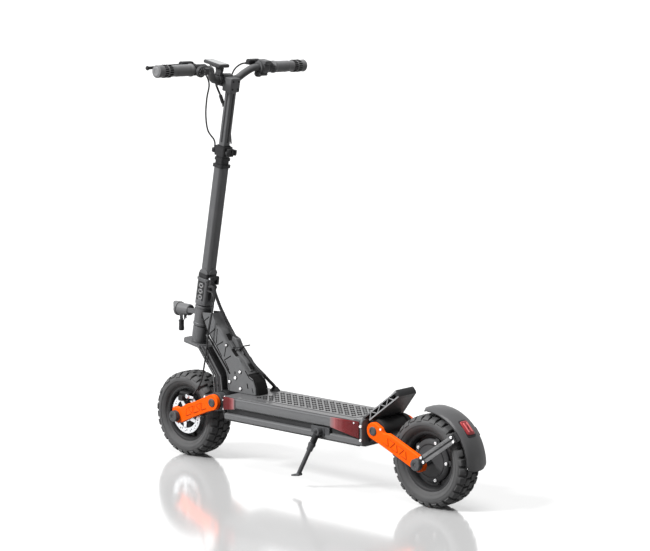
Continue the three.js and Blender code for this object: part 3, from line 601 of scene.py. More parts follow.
def tread(axle):
    """Chunky blocks: a staggered pair of rows in the middle and a row over each shoulder."""
    made = Solid()
    pitch = tau / KNOBS_ROUND
    for k in range(KNOBS_ROUND):
        for side in (1, -1):
            def flip(section):
                return [[(r, y * side) for r, y in line] for line in section]
            start = (k + (0.5 if side < 0 else 0.0)) * pitch
            shoulder = SHOULDER if k % 2 == 0 else SHORT_SHOULDER
            made.join(knob(axle, start, start + pitch * 0.7, flip(shoulder)))
            made.join(knob(axle, start + pitch * 0.3, start + pitch * 1.02, flip(CENTRE_BLOCK)))
    return made


def rim(axle):
    """The rolled lip, the barrel and the bead seats of a rim."""
    lip = [(78, 29.5), (84.5, 29.5), (85.5, 28.3), (85.5, 26.5), (82, 25.5), (80, 24)]
    inner = [(70.5, 12), (72.5, 22), (75.5, 28)]
    barrel = [(r, -y) for r, y in reversed(inner)] + inner
    return turned_on(axle, LEFT, both_sides(lip) + barrel, 96, loop=True)


def spin(solid, count, axle, start=0.0):
    made = Solid()
    for k in range(count):
        made.join(solid.turned(start + tau * k / count, LEFT, axle))
    return made


def make_wheel(axle, end):
    body = f"{end}_wheel"
    piece(f"{end}_tyre_carcass", tyre_carcass(axle), TYRE, body, [f"{end}_tyre"], 40)
    piece(f"{end}_tyre_tread", tread(axle), TYRE, body, (), 25)
    line = [(101, 43.1), (102, 43.4), (103, 43.1), (102, 42)]
    rings = turned_on(axle, LEFT, line, 96, loop=True)
    bead = turned_on(axle, LEFT, [(88, 35.2), (89.5, 36.6), (91, 37.6), (90, 35)], 96, loop=True)
    marks = Solid().join(rings, rings.mirrored(), bead, bead.mirrored())
    piece(f"{end}_tyre_ribs", marks, TYRE, body, (), 40)


def make_front_wheel():
    axle = FRONT_AXLE
    make_wheel(axle, "front")
    piece("front_rim_ring", rim(axle), BLACK, "front_wheel", ["front_rim"], 35)
    blade = beside(axle, [(18, -9), (73, -13), (73, 13), (18, 9)])
    spoke = soft_slab(blade, 3, 4, -12, 12, 2.5)
    hub_profile = both_sides([(9, -30), (24, -30), (26, -27), (26, -14), (30, -10)])
    hub = turned_on(axle, LEFT, hub_profile, 48, loop=True)
    web = turned_on(axle, LEFT, [(20, -4), (74, -4), (74, 4), (20, 4)], 64, loop=True)
    spokes = Solid().join(spin(spoke, 5, axle, 0.3), hub, web)
    piece("front_spokes", spokes, BLACK, "front_wheel", (), 35)
    make_disc(axle, "front_wheel", "front_disc", 31.4)


def make_disc(axle, body, node, middle):
    """A drilled disc: a friction ring on five curved arms, with pairs of holes round the ring."""
    low, high = middle - 1.1, middle + 1.1
    outer, inner = 59.7, 43
    made = Solid()
    cells = 45
    for k in range(cells):
        a0, a1 = tau * k / cells, tau * (k + 1) / cells
        drilled = k % 3 != 2
        bands = [(inner, 48.2), (48.2, 52.2), (52.2, 55.4), (55.4, outer)]
        for index, (r0, r1) in enumerate(bands):
            hole = drilled and ((index == 1 and k % 3 == 0) or (index == 2 and k % 3 == 1))
            parts = [(a0, a1)] if not hole else [(a0, a0 + (a1 - a0) * 0.26), (a1 - (a1 - a0) * 0.26, a1)]
            for s, e in parts:
                ring = [(r0, s), (r1, s), (r1, e), (r0, e)]
                pts = [(axle.x + r * cos(t), axle.z + r * sin(t)) for r, t in ring]
                made.join(loft([[side_on(a, b, y) for a, b in pts] for y in (low, high)]))
    arm = [(20, -4), (26, -9), (44, -13), (44.5, -3), (30, 4), (20, 6)]
    arms = slab(beside(axle, arm), low, high, 0.3)
    hub = turned_on(axle, LEFT, [(9, low), (23, low), (23, high), (9, high)], 2 * cells, loop=True)
    made.join(spin(arms, 5, axle), hub)
    piece(node + "_plate", made, STEEL, body, [node], 30)
    heads = Solid()
    for k in range(5):
        turn = tau * (k + 0.5) / 5
        out = round_axle(turn) * 18
        face, way = (high, LEFT) if middle > 0 else (low, -LEFT)
        heads.join(bolt(axle + out + LEFT * face, way, 3.2, 2.2, 12))
    piece(node + "_bolts", heads, STEEL, body, ())


def make_rear_wheel():
    axle = REAR_AXLE
    make_wheel(axle, "rear")
    piece("rear_rim_ring", rim(axle), BLACK, "rear_wheel", ["rear_hub_motor"], 35)
    web = turned_on(axle, LEFT, [(50, -10), (72, -8), (72, 8), (50, 10)], 64, loop=True)
    cover = turned_on(
        axle, LEFT,
        [
            (9, -29), (34, -29), (38, -22), (56, -17), (60, -14), (61, 12), (60, 17), (57, 20), (50, 22),
            (30, 24.5), (24, 27), (9, 27),
        ],
        72, loop=True,
    )
    ribs = Solid()
    for k in range(5):
        turn = tau * (k + 0.5) / 5
        out = round_axle(turn)
        for reach, low, high, radius in ((60, -6, 17.5, 8), (52, 12, 21.5, 8.5)):
            foot = axle + out * reach
            ribs.join(rod(foot + LEFT * low, foot + LEFT * high, radius, 20, 1.2))
    piece("rear_motor_cover", Solid().join(web, cover, ribs), PLASTIC, "rear_wheel", (), 30)
    ring = turned_on(axle, LEFT, [(44, 22.6), (45, 23.6), (47, 23.4), (48, 22)], 72, loop=True)
    piece("rear_motor_ring", ring, BLACK, "rear_wheel", (), 40)
    heads = Solid()
    for k in range(5):
        turn = tau * (k + 0.5) / 5
        heads.join(bolt(axle + round_axle(turn) * 54 + LEFT * 21.3, LEFT, 4.6, 3.2))
    piece("rear_motor_bolts", heads, ZINC, "rear_wheel")
    make_disc(axle, "rear_wheel", "rear_disc", -31.4)


make_front_wheel()
make_rear_wheel()

# ---- Swing arms ----

# How far the arms' inner and outer faces stand from the middle plane.
ARM_INNER = 61.0
ARM_OUTER = corners("front_arm_left")[1].y


def along_arm(pivot_at, axle_at):
    """Turns (distance along, distance up) from the pivot into the side view."""
    way = Vector((axle_at.x - pivot_at.x, axle_at.z - pivot_at.z))
    length = way.length
    way.normalize()
    rise = Vector((-way.y, way.x)) * (1 if way.x > 0 else -1)
    return lambda a, b: Vector((pivot_at.x, pivot_at.z)) + way * a + rise * b, length


def arc(middle, radius, start, end, steps=10):
    return [
        (middle[0] + radius * cos(radians(start + (end - start) * k / steps)),
         middle[1] + radius * sin(radians(start + (end - start) * k / steps)))
        for k in range(steps + 1)
    ]


def arm_outline(length, front):
    """Head round the pivot, dips in the upper edge, and a cut end beyond the axle."""
    head = arc((0, 0), 23.6, 90, 270, 14)
    if front:
        beyond = [
            (-12, -25), (4, -22), (12, -8), (14, 12), (8, 26), (-4, 29), (-14, 22), (-28, 17), (-42, 21),
            (-56, 22),
        ]
        before, after = [(30, -21), (90, -22)], [(60, 21), (20, 23)]
    else:
        beyond = [(-20, -22), (10, -21), (21, -10), (22, 4), (12, 16), (-6, 21.5)]
        before, after = [(34, -22)], [(60, 21.5), (48, 20), (40, 14), (32, 14), (22, 22)]
    return head + before + [(length + a, b) for a, b in beyond] + after


def make_arm(end, pivot_at, axle_at):
    place, length = along_arm(pivot_at, axle_at)
    outline = [place(a, b) for a, b in rounded(arm_outline(length, end == "front"), 4, 2)]
    body = f"{end}_suspension"
    plate = slab(outline, ARM_INNER, ARM_OUTER, 1.6)
    first = 40 if end == "front" else 54
    raised, edge_shade_strips = Solid(), Solid()
    for k in range(5):
        a = first + k * 17.5
        b = 10 if k % 2 else -10
        triangle = [place(x, y) for x, y in ((a, -b), (a + 10.5, b), (a - 10.5, b))]
        raised.join(slab(triangle, ARM_OUTER - 1, ARM_OUTER + 0.9, 0.5))
        # Strips along two edges of each triangle, in painted shade.
        for start, end_at in (((a, -b), (a + 10.5, b)), ((a + 10.5, b), (a - 10.5, b))):
            ends = place(*start), place(*end_at)
            edge_shade_strips.join(strip(*ends, 1.7, ARM_OUTER + 0.4, ARM_OUTER + 1.3, side_on))
    cap_profile = [(12.4, -1), (12.4, 1.8), (11, 2.9), (7, 3.4), (6.4, 2.2), (6, 2.2)]
    heads = turned_on(Vector((pivot_at.x, ARM_OUTER, pivot_at.z)), LEFT, cap_profile, 36)
    for side, word in SIDES:
        boss = rod(
            Vector((pivot_at.x, 36, pivot_at.z)), Vector((pivot_at.x, ARM_INNER + 1, pivot_at.z)), 13, 24,
        )
        piece(f"{end}_arm_plate_{word}", Solid().join(plate, raised, boss).on(side), ORANGE, body,
              [f"{end}_arm_{word}"], 30)
        piece(f"{end}_arm_marks_{word}", edge_shade_strips.on(side), ORANGE_PAINTED_SHADE, body, ())
        piece(f"{end}_pivot_cap_{word}", heads.on(side), PAINT, body, ())
        spot = place(22, 24 if end == "front" else 18)
        rivet = bolt(Vector((spot.x, ARM_OUTER - 1, spot.y)), LEFT, 3.0, 3.4, 14)
        piece(f"{end}_arm_rivet_{word}", rivet.on(side), ZINC, body)


def make_axle(axle, end):
    body = f"{end}_suspension"
    made = rod(axle - LEFT * 80, axle + LEFT * 80, 8)
    for side in (1, -1):
        out = LEFT * side
        start = axle + out * (ARM_OUTER + 0.3)
        profile = [
            (16.6, 0), (17.2, 1), (17.2, 4), (16.4, 5), (16.4, 12.5), (15, 14.7), (9, 14.7), (8.6, 13.6),
            (5.6, 13.6), (5.2, 12), (5, 12),
        ]
        made.join(turned_on(start, out, profile, 40))
        for k in range(8):
            turn = tau * k / 8
            offset = round_axle(turn) * 16.6
            made.join(rod(start + offset + out * 6, start + offset + out * 12, 1.2, 8, 0.3))
        made.join(rod(axle + out * 36, axle + out * (ARM_INNER - 0.3), 12))
    piece(f"{end}_axle_caps", made, PAINT, body, [f"{end}_axle"])


for name, pivot_at, axle_at in (("front", FRONT_PIVOT, FRONT_AXLE), ("rear", REAR_PIVOT, REAR_AXLE)):
    make_arm(name, pivot_at, axle_at)
    make_axle(axle_at, name)

# ---- Rear fender ----

# The fender's outer radius, and the turn of its struts in degrees up from straight ahead.
CROWN = 149.8
STRUT_TURN = 141
FENDER_FRONT, FENDER_TAIL = 80, 183


def fender_section():
    """(radius, y) points round the shell: from edge to edge over the crown, then back inside."""
    drops = [(9.5, 41), (7, 40.6), (4.6, 37.5), (2.2, 30), (1.4, 24), (0.9, 22.6), (0, 8)]
    outer = [(CROWN - drop, y) for drop, y in drops]
    drops = [(9.5, 38.6), (9, 38), (7.6, 35.5), (5.4, 29), (4.8, 23), (4.4, 22), (3.4, 8)]
    inner = [(CROWN - drop, y) for drop, y in drops]
    return both_sides(outer) + both_sides([(r, -y) for r, y in inner])


def make_fender():
    axle = REAR_AXLE
    start, end = radians(FENDER_FRONT), radians(FENDER_TAIL)
    steps = 56
    section = fender_section()
    rings = []
    for k in range(steps + 1):
        share = k / steps
        front = max(0, 1 - share * 11) ** 2
        tail = max(0, (share - 0.93) / 0.07) ** 2
        ring = []
        for r, y in section:
            edge = max(0, (abs(y) - 18) / 23)
            turn = start + (end - start) * share + radians(7) * front * edge - radians(3) * tail * edge
            reach = r - 3.5 * front - 3 * tail * edge
            ring.append(axle + round_axle(turn) * reach + LEFT * (y * (1 - 0.12 * front - 0.08 * tail)))
        rings.append(ring)
    piece(
        "fender_shell", loft(rings), FENDER_PLASTIC, "rear_suspension", ["rear_fender"],
        30,
    )
    trim = Solid()
    for side in (1, -1):
        line = [(CROWN - drop, side * y) for drop, y in ((10.2, 41.2), (8.6, 41.8), (7.6, 41.2), (8.6, 40))]
        rings = [ring_at(axle, line, radians(90 + 88 * k / 50)) for k in range(51)]
        trim.join(loft(rings))
        tab = rounded([(CROWN - 30, -12.5), (CROWN - 7, -14), (CROWN - 7, 14), (CROWN - 30, 12.5)], 4)
        solid = slab(beside(axle, tab), 40.2, 43.8, 0.6)
        solid = solid.turned(radians(-STRUT_TURN), LEFT, axle)
        trim.join(solid.on(side))
    piece("fender_edges", trim, BLACK, "rear_suspension", (), 40)


def on_crown(axle, turn, y, lift):
    """A point over the fender's crown, at a turn in degrees."""
    drop = 0 if abs(y) < 8 else (abs(y) - 8) * 0.07
    r = CROWN - drop + lift
    return axle + round_axle(radians(turn)) * r + LEFT * y


def crown_patch(axle, turn0, turn1, half, low, high, corner=6, bulge=0.0):
    """A rounded pad that follows the fender's crown."""
    middle, spread = (turn0 + turn1) / 2, (turn1 - turn0) / 2
    scale = radians(1) * CROWN
    outline = rounded(rectangle(-spread * scale, -half, spread * scale, half), corner, 4)
    layers = [(0.0, low), (0.0, high - 0.8), (0.8, high), (3.0, high + bulge * 0.6), (8.0, high + bulge)]
    rings = []
    for amount, lift in layers:
        ring = inset(outline, amount) if amount else [Vector(p) for p in outline]
        rings.append([on_crown(axle, middle + p.x / scale, p.y, lift) for p in ring])
    return loft(rings)


def make_tail_light():
    axle = REAR_AXLE
    piece(
        "tail_light_bezel", crown_patch(axle, 125.8, 147.5, 18.2, -1.0, 1.2, 9), BLACK, "rear_suspension",
        (),
    )
    piece("tail_light_lens", crown_patch(axle, 127.8, 144.8, 15.2, 0.5, 3.4, 7, 0.8), RED, "rear_suspension",
          ["tail_light"], 40)
    bars = Solid()
    for y in (-7, 7):
        bars.join(light_bar(axle, y))
    piece("tail_light_strips", bars, PALE_RED, "rear_suspension", ())


def light_bar(axle, y):
    """One of the lamp's bright inner strips, as a raised bar along the lens."""
    scale = radians(1) * CROWN
    outline = rounded(rectangle(-15, -2.4, 15, 2.4), 2.0, 3)
    rings = []
    for amount, lift in ((0, 3.0), (0, 4.3), (0.6, 4.7)):
        ring = inset(outline, amount) if amount else [Vector(p) for p in outline]
        rings.append([on_crown(axle, 136.3 + p.x / scale, p.y + y, lift) for p in ring])
    return loft(rings)


make_fender()
make_tail_light()

# ---- Fender struts ----


def make_struts():
    axle = REAR_AXLE
    turn = radians(STRUT_TURN)
    out = round_axle(turn)
    square = Vector((-sin(turn), 0, cos(turn)))
    start, end = 22.0, CROWN - 22
    near, far = ARM_OUTER + 5, 46.5

    def place(a, b, t):
        return axle + out * a + square * b + LEFT * (near + (a - start) * (far - near) / (end - start) + t)

    rails, plates, heads = Solid(), Solid(), Solid()
    for b in (-6.9, 6.9):
        rails.join(tile((start + 8, b - 4.7, end - 5, b + 4.7), 2, 2, -1.5, 2.4, 1.2, place))
        rails.join(tile((start + 14, b - 1.6, end - 12, b + 1.6), 1.4, 2, 2.0, 3.0, 0.4, place))
        heads.join(bolt(place(start + 3.0, b, 2.4), LEFT, 3.9, 2.8, 14))
        heads.join(bolt(place(end - 3.5, b, 2.4), LEFT, 3.9, 2.8, 14))
    plates.join(tile((start - 5, -12.6, start + 11, 12.6), 4, 3, -2.2, 1.8, 0.8, place))
    plates.join(tile((end - 12, -12.8, end + 4, 12.8), 4, 3, -2.2, 1.8, 0.8, place))
    plates.join(slab(rectangle(start + 4, -2.6, end - 6, 2.6), -2.4, 0.4, 0.5, place))
    for side, word in SIDES:
        piece(
            f"strut_rails_{word}", rails.on(side), STRUT_METAL, "rear_suspension", [f"fender_strut_{word}"],
        )
        piece(f"strut_plates_{word}", plates.on(side), BLACK, "rear_suspension", ())
        piece(f"strut_bolts_{word}", heads.on(side), ZINC, "rear_suspension")


make_struts()

# ---- Deck ----

# (y, z) points of half the deck's section, from the middle of its underside to the middle of its top.
DECK_HALF = [
    (0, 146), (72, 146), (
        81, 148.5,
    ), (85.5, 152), (85.5, 164), (83, 167), (77.5, 169), (76.5, 176), (77.5, 184),
    (84, 187), (87.2, 188.5), (88, 191), (88, 210), (86.8, 213.4), (84, 215.7), (0, 215.7),
]


def make_deck():
    outline = DECK_HALF[1:-1] + [(-y, z) for y, z in reversed(DECK_HALF[1:-1])]
    shell = slab(outline, DECK_LOW.x, DECK_HIGH.x, 0.6, across)
    piece("deck_shell", shell, DECK_SIDE, "deck", ["deck_frame"], 24)
    trim = Solid()
    for side in (1, -1):
        for z in (190.5, 211.5):
            line = on_side(side, 87.8, 88.7)
            trim.join(tile((DECK_LOW.x + 2, z - 0.7, DECK_HIGH.x - 2, z + 0.7), 0.5, 2, *line, 0.3))
    piece("deck_side_beads", trim, DECK_SIDE, "deck", ())
    # Black strips inside the side groove and along the bottom edge: painted shade of the recess and of the
    # underside.
    deck_groove_shade = Solid()
    for side in (1, -1):
        line = on_side(side, 77.0, 77.9)
        deck_groove_shade.join(slab(rectangle(DECK_LOW.x + 2, 168.5, DECK_HIGH.x - 2, 185), *line, 0.2))
        edge = on_side(side, 83, 84.6)
        deck_groove_shade.join(slab(rectangle(DECK_LOW.x + 2, 147.4, DECK_HIGH.x - 2, 149.4), *edge, 0.2))
    piece("deck_side_painted_shade", deck_groove_shade, BLACK, "deck", ())
    lid_low, lid_high = corners("deck_lid")
    lid = tile(
        (lid_low.x, lid_low.y, lid_high.x, lid_high.y), 3, 3, lid_low.z - 0.2, lid_high.z, 0.9, from_above,
    )
    piece("deck_lid_plate", lid, TREAD, "deck", ["deck_lid"])


# The slots stand in columns of cells; the pitches are from one column or cell to the next.
TREAD_COLUMNS = 26
COLUMN_PITCH = 24.5
CELLS = 6
CELL_PITCH = 18.6


def make_tread_plate():
    """The tread: columns of letter-H slots, their dark insides painted shade, that cross the deck on its
    diagonal.
    """
    top = LID_TOP
    corners_at = rounded(rectangle(MAT_LOW.x, MAT_LOW.y, MAT_HIGH.x, MAT_HIGH.y), 4, 3)
    plate = slab(corners_at, top - 0.3, top + 1.3, 0.5, from_above)
    piece("tread_plate", plate, TREAD, "deck", ["grip_mat"])
    slots = Solid()
    along, across_it = Vector((-1, 1)).normalized(), Vector((1, 1)).normalized()
    for column in range(TREAD_COLUMNS):
        for cell in range(CELLS):
            y = (cell - (CELLS - 1) / 2) * CELL_PITCH - 4
            middle = Vector((MAT_HIGH.x + 50 - column * COLUMN_PITCH - y, y))
            if middle.x - 12 < MAT_LOW.x or middle.x + 12 > MAT_HIGH.x:
                continue
            for a, b, c, d, width in (
                (-4.8, 0, 4.8, 0, 8.0), (-4.4, -8.2, -4.4, 8.2, 3.4), (4.4, -8.2, 4.4, 8.2, 3.4),
            ):
                start = middle + across_it * a + along * b
                end = middle + across_it * c + along * d
                slots.join(strip(start, end, width, top + 1.0, top + 1.75))
    # The slots' near-black is painted shade in their openings.
    piece("tread_slot_shade", slots, PAINTED_SHADE_BLACK, "deck", ())


def make_side_lights():
    for side, word in SIDES:
        for end in ("front", "rear"):
            node = f"side_light_{end}_{word}"
            low, high = corners(node)
            if end == "front":
                outline = [(high.x, high.z), (high.x, low.z), (low.x, low.z + 7), (low.x, high.z - 2)]
            else:
                outline = [(low.x, high.z - 2), (low.x, low.z), (high.x, low.z + 18), (high.x, high.z - 4)]
            span = on_side(side, 87.6, 90.8)
            lens = soft_slab(outline, 2.5, 3, *span, 1.0)
            piece(
                f"{node}_lens", lens, FRONT_FADE if end == "front" else REAR_FADE, "deck", [node],
            )
            face = on_side(side, 90.5, 91.1)
            ribs = Solid()
            x0, x1 = (low.x + 14, high.x - 3) if end == "front" else (low.x + 4, high.x - 24)
            count = 8 if end == "front" else 18
            for k in range(count):
                x = x0 + (x1 - x0) * k / (count - 1)
                share = (x - low.x) / (high.x - low.x)
                bottom = low.z + (7 * (1 - share) + 2 if end == "front" else 18 * share + 3)
                ribs.join(slab(rectangle(x - 0.8, bottom, x + 0.8, high.z - 5), *face, 0.2))
            piece(f"{node}_ribs", ribs, DEEP_RED, "deck", ())


def make_deck_ends():
    """The castings that close the deck's ends, the housing of the rear torsion rubber and their bolts."""
    end = DECK_LOW.x
    plate = rounded(
        [
            (-85, 150), (-72, 146.4), (72, 146.4), (85, 150), (88, 158), (88, 214), (84, 223), (60, 225),
            (-60, 225), (-84, 223), (-88, 214), (-88, 158),
        ],
        3, 3,
    )
    rear = slab(plate, end - 9, end - 0.3, 1.4, across)
    piece("rear_end_plate", rear, NECK_PAINT, "deck", ["rear_casting"])
    profile = both_ends([(24, 0), (31, 2), (31, 16), (28, 19)], 118.8)
    housing = turned_on(REAR_PIVOT - LEFT * 59.4, LEFT, profile, 48)
    shape = [(end - a, z) for a, z in ((5, 162), (5, 221), (22, 221), (46, 206), (46, 172), (24, 160))]
    web = soft_slab(shape, 5, 3, -48, 48, 2)
    shape = [(end - a, z) for a, z in ((6, 158), (6, 222), (16, 222), (34, 216), (34, 176), (14, 158))]
    gussets = Solid()
    for y in (-54, 54):
        gussets.join(soft_slab(shape, 4, 2, y - 5, y + 5, 1))
    piece("rear_housing", Solid().join(housing, web, gussets), BLACK, "deck", ())
    heads = Solid()
    for side in (1, -1):
        for z in (166, 205):
            heads.join(bolt(Vector((end - 4.6, side * 88, z)), LEFT * side, 4.2, 3.2))
        for z in (214, 179, 206):
            heads.join(
                bolt(Vector((DECK_HIGH.x + 4, side * (84 if z < 214 else 80), z)), LEFT * side, 3.2, 2.4, 12)
            )
        heads.join(bolt(Vector((end + 18, side * 90.7, 212)), LEFT * side, 2.6, 1.6, 12))
    piece("deck_end_bolts", heads, ZINC, "deck")
    nose = rounded(
        [
            (-80, 152), (-66, 147), (66, 147), (80, 152), (84, 160), (84, 208), (76, 216), (-76, 216),
            (-84, 208), (-84, 160),
        ],
        3, 3,
    )
    front = slab(nose, DECK_HIGH.x - 1, DECK_HIGH.x + 8, 2.0, across)
    ribs = Solid()
    for y in (-50, -25, 0, 25, 50):
        ribs.join(tile((DECK_HIGH.x + 6, 156, DECK_HIGH.x + 11, 208), 2, 2, y - 2, y + 2, 0.5))
    piece("front_end_plate", Solid().join(front, ribs), BLACK, "deck", ())


make_deck()
make_tread_plate()
make_side_lights()
make_deck_ends()

# ---- Footrest ----

REST_LOW, REST_HIGH = corners("footrest")


def make_footrest():
    """A sloped panel on two trussed cheeks, narrower towards its folded tip."""
    base = Vector((REST_LOW.x + 100.0, LID_TOP + 0.6))
    tip = Vector((REST_LOW.x + 6, REST_HIGH.z - 2))
    way = (tip - base).normalized()
    length = (tip - base).length
    normal = Vector((way.y, -way.x))
    if normal.y < 0:
        normal = -normal

    def place(a, b, t):
        """a up the slope, b across, t out of the rest's front face."""
        p = base + way * a + normal * t
        return Vector((p.x, b, p.y))

    def half(a):
        return 78 + (36 - 78) * max(0, min(1, (a - 6) / (length - 12)))

    def panel(start, end, narrower, low, high):
        """A panel from start to end up the slope, whose sides follow the rest's."""
        steps = 24
        runs = [start + (end - start) * k / steps for k in range(steps + 1)]
        edge = [(a, half(a) - narrower) for a in runs]
        return slab(both_sides(edge), low, high, 1.0, place)

    front = panel(0, length, 0, -3.4, 0)
    back = panel(24, length - 4, 5, -19.5, -16.5)
    piece("footrest_panels", Solid().join(front, back), PLASTIC, "deck", ["footrest"], 40)
    grooves = Solid()
    for k in range(5):
        a = 22 + k * 20
        grooves.join(tile((a, -half(a) + 14, a + 8, half(a) - 14), 3, 2, -0.2, 1.3, 0.5, place))
    piece("footrest_grips", grooves, RUBBER, "deck", ())
    cheek = Solid()
    for side in (1, -1):
        def rail(a0, t0, a1, t1, thick):
            """A bar of the cheek's truss, which follows the rest's tapering side."""
            ring0 = [(a0, t0 - thick), (a0, t0 + thick)]
            ring1 = [(a1, t1 - thick), (a1, t1 + thick)]
            if abs(a1 - a0) < abs(t1 - t0):
                ring0, ring1 = [(a0 - thick, t0), (a0 + thick, t0)], [(a1 - thick, t1), (a1 + thick, t1)]
            rings = []
            for ring in (ring0, ring1):
                rings.append([place(a, side * (half(a) + d), t) for d, (a, t) in
                              ((0.4, ring[0]), (0.4, ring[1]), (-3.0, ring[1]), (-3.0, ring[0]))])
            return loft(rings)
        cheek.join(rail(2, -1.8, length, -1.8, 1.8), rail(24, -17.5, length - 1, -17.5, 1.8))
        joints = [(26, -17), (40, -2), (52, -17), (72, -2), (82, -17), (100, -2), (110, -17)]
        for (a0, t0), (a1, t1) in zip(joints, joints[1:]):
            cheek.join(rail(a0, t0, a1, t1, 1.3))
    piece("footrest_truss", cheek, GREY_METAL, "deck", ())
    lip = [
        (length - 22, 0.4), (length + 1, 1.8), (length + 3, -2), (length + 3, -13), (length, -19.6),
        (length - 14, -19.6), (length - 5, -10),
    ]
    rings = []
    for b in (-1.0, -0.97, 0.97, 1.0):
        pull = 1.2 if abs(b) == 1.0 else 0.0
        middle = Vector((length - 8, -8))
        ring = []
        for a, t in lip:
            p = Vector((a, t))
            p = p + (middle - p).normalized() * pull
            ring.append(place(p.x, b * (half(p.x) + 0.6), p.y))
        rings.append(ring)
    piece("footrest_lip", loft(rings), BLACK, "deck", (), 40)
    foot = Solid()
    for side in (1, -1):
        shape = rounded(
            [
                (DECK_LOW.x - 7, 219.5), (DECK_LOW.x + 26, 219.5), (DECK_LOW.x + 20, 224),
                (DECK_LOW.x - 4, 226), (DECK_LOW.x - 7, 224),
            ],
            1.5, 2,
        )
        foot.join(slab(shape, *on_side(side, 66, 84), 0.8))
    piece("footrest_feet", foot, GREY_METAL, "deck", ())


make_footrest()

# ---- Kickstand ----


def make_kickstand():
    at = pivot("kickstand")
    low = corners("kickstand")[0]
    foot = Vector((low.x + 71, 108, low.z + 5))
    way = (foot - at).normalized()
    leg = rod(at, foot, 6.3, 20)
    collar = turned_on(
        at + way * 38, way, [(7, 0), (10.4, 2), (11.2, 6), (10.4, 10), (9, 13), (9, 24), (7, 27)], 24,
    )
    coils, points_each = 7, 14
    line = []
    a, b = square_to(way)
    for k in range(coils * points_each + 1):
        turn = tau * k / points_each
        line.append(at + way * (8 + 28 * k / (coils * points_each)) + (a * cos(turn) + b * sin(turn)) * 8.3)
    coil = sweep(line, 1.3, 8)
    hub = rod(Vector((at.x, 88.4, at.z)), Vector((at.x, at.y + 8, at.z)), 11, 28, 1.2)
    sole = beside(foot, [(-8, -4), (22, -8), (23, -4), (-2, 3), (-8, 2)])
    pad = soft_slab(sole, 2, 2, foot.y - 8, foot.y + 8, 1.2)
    piece(
        "kickstand_leg", Solid().join(leg, collar, hub, pad), PAINT, "kickstand", ["kickstand"],
    )
    piece("kickstand_spring", coil, BLACK, "kickstand", (), 60)
    piece("kickstand_bolt", bolt(Vector((at.x, at.y + 7.8, at.z)), LEFT, 5, 2.6), BLACK, "kickstand")
    bracket = tile((at.x - 35, at.z - 8, at.x + 35, at.z + 13), 4, 3, 76, 86.4, 1)
    block = tile((at.x - 17, at.z - 12, at.x + 17, at.z + 12), 4, 3, 84, 88, 0.8)
    piece("kickstand_bracket", Solid().join(bracket, block), PAINT, "deck", ())


make_kickstand()

# ---- Neck ----


# The side plates' outline, measured from the neck's lowest rear corner.
NECK_OUTLINE = [
    (224, 222), (194, 160), (
        122, 54.7,
    ), (111, 0.3), (0, 0.3), (2, 20), (14, 46), (32, 54), (46, 72), (68, 100),
    (92, 109), (122, 144), (161, 189), (180, 224),
]
# Pressed lines on the side plates, each a run of side-view points.
NECK_LINES = [
    [(392, 432), (417, 414), (401, 393)],
    [(367, 399), (391, 381), (364, 351)],
    [(358, 400), (362, 356)],
    [(334, 364), (362, 349), (340, 319)],
    [(323, 349), (329, 320)],
    [(302, 325), (329, 310), (310, 282)],
]
# The wider lines: the fold near the head tube, the front edge and the slot at the top.
NECK_FOLD = [(383, 441), (397, 389), (396, 380)]
NECK_FRONT = [(397, 375), (367, 341), (338, 309), (306, 271)]
NECK_SLOT = [(422, 441), (422, 423)]


def groove(points, width=3.0):
    """A bead along a line on the neck's side plate."""
    made = Solid()
    for start, end in zip(points, points[1:]):
        made.join(strip(start, end, width, 25.2, 26.5, side_on))
    return made


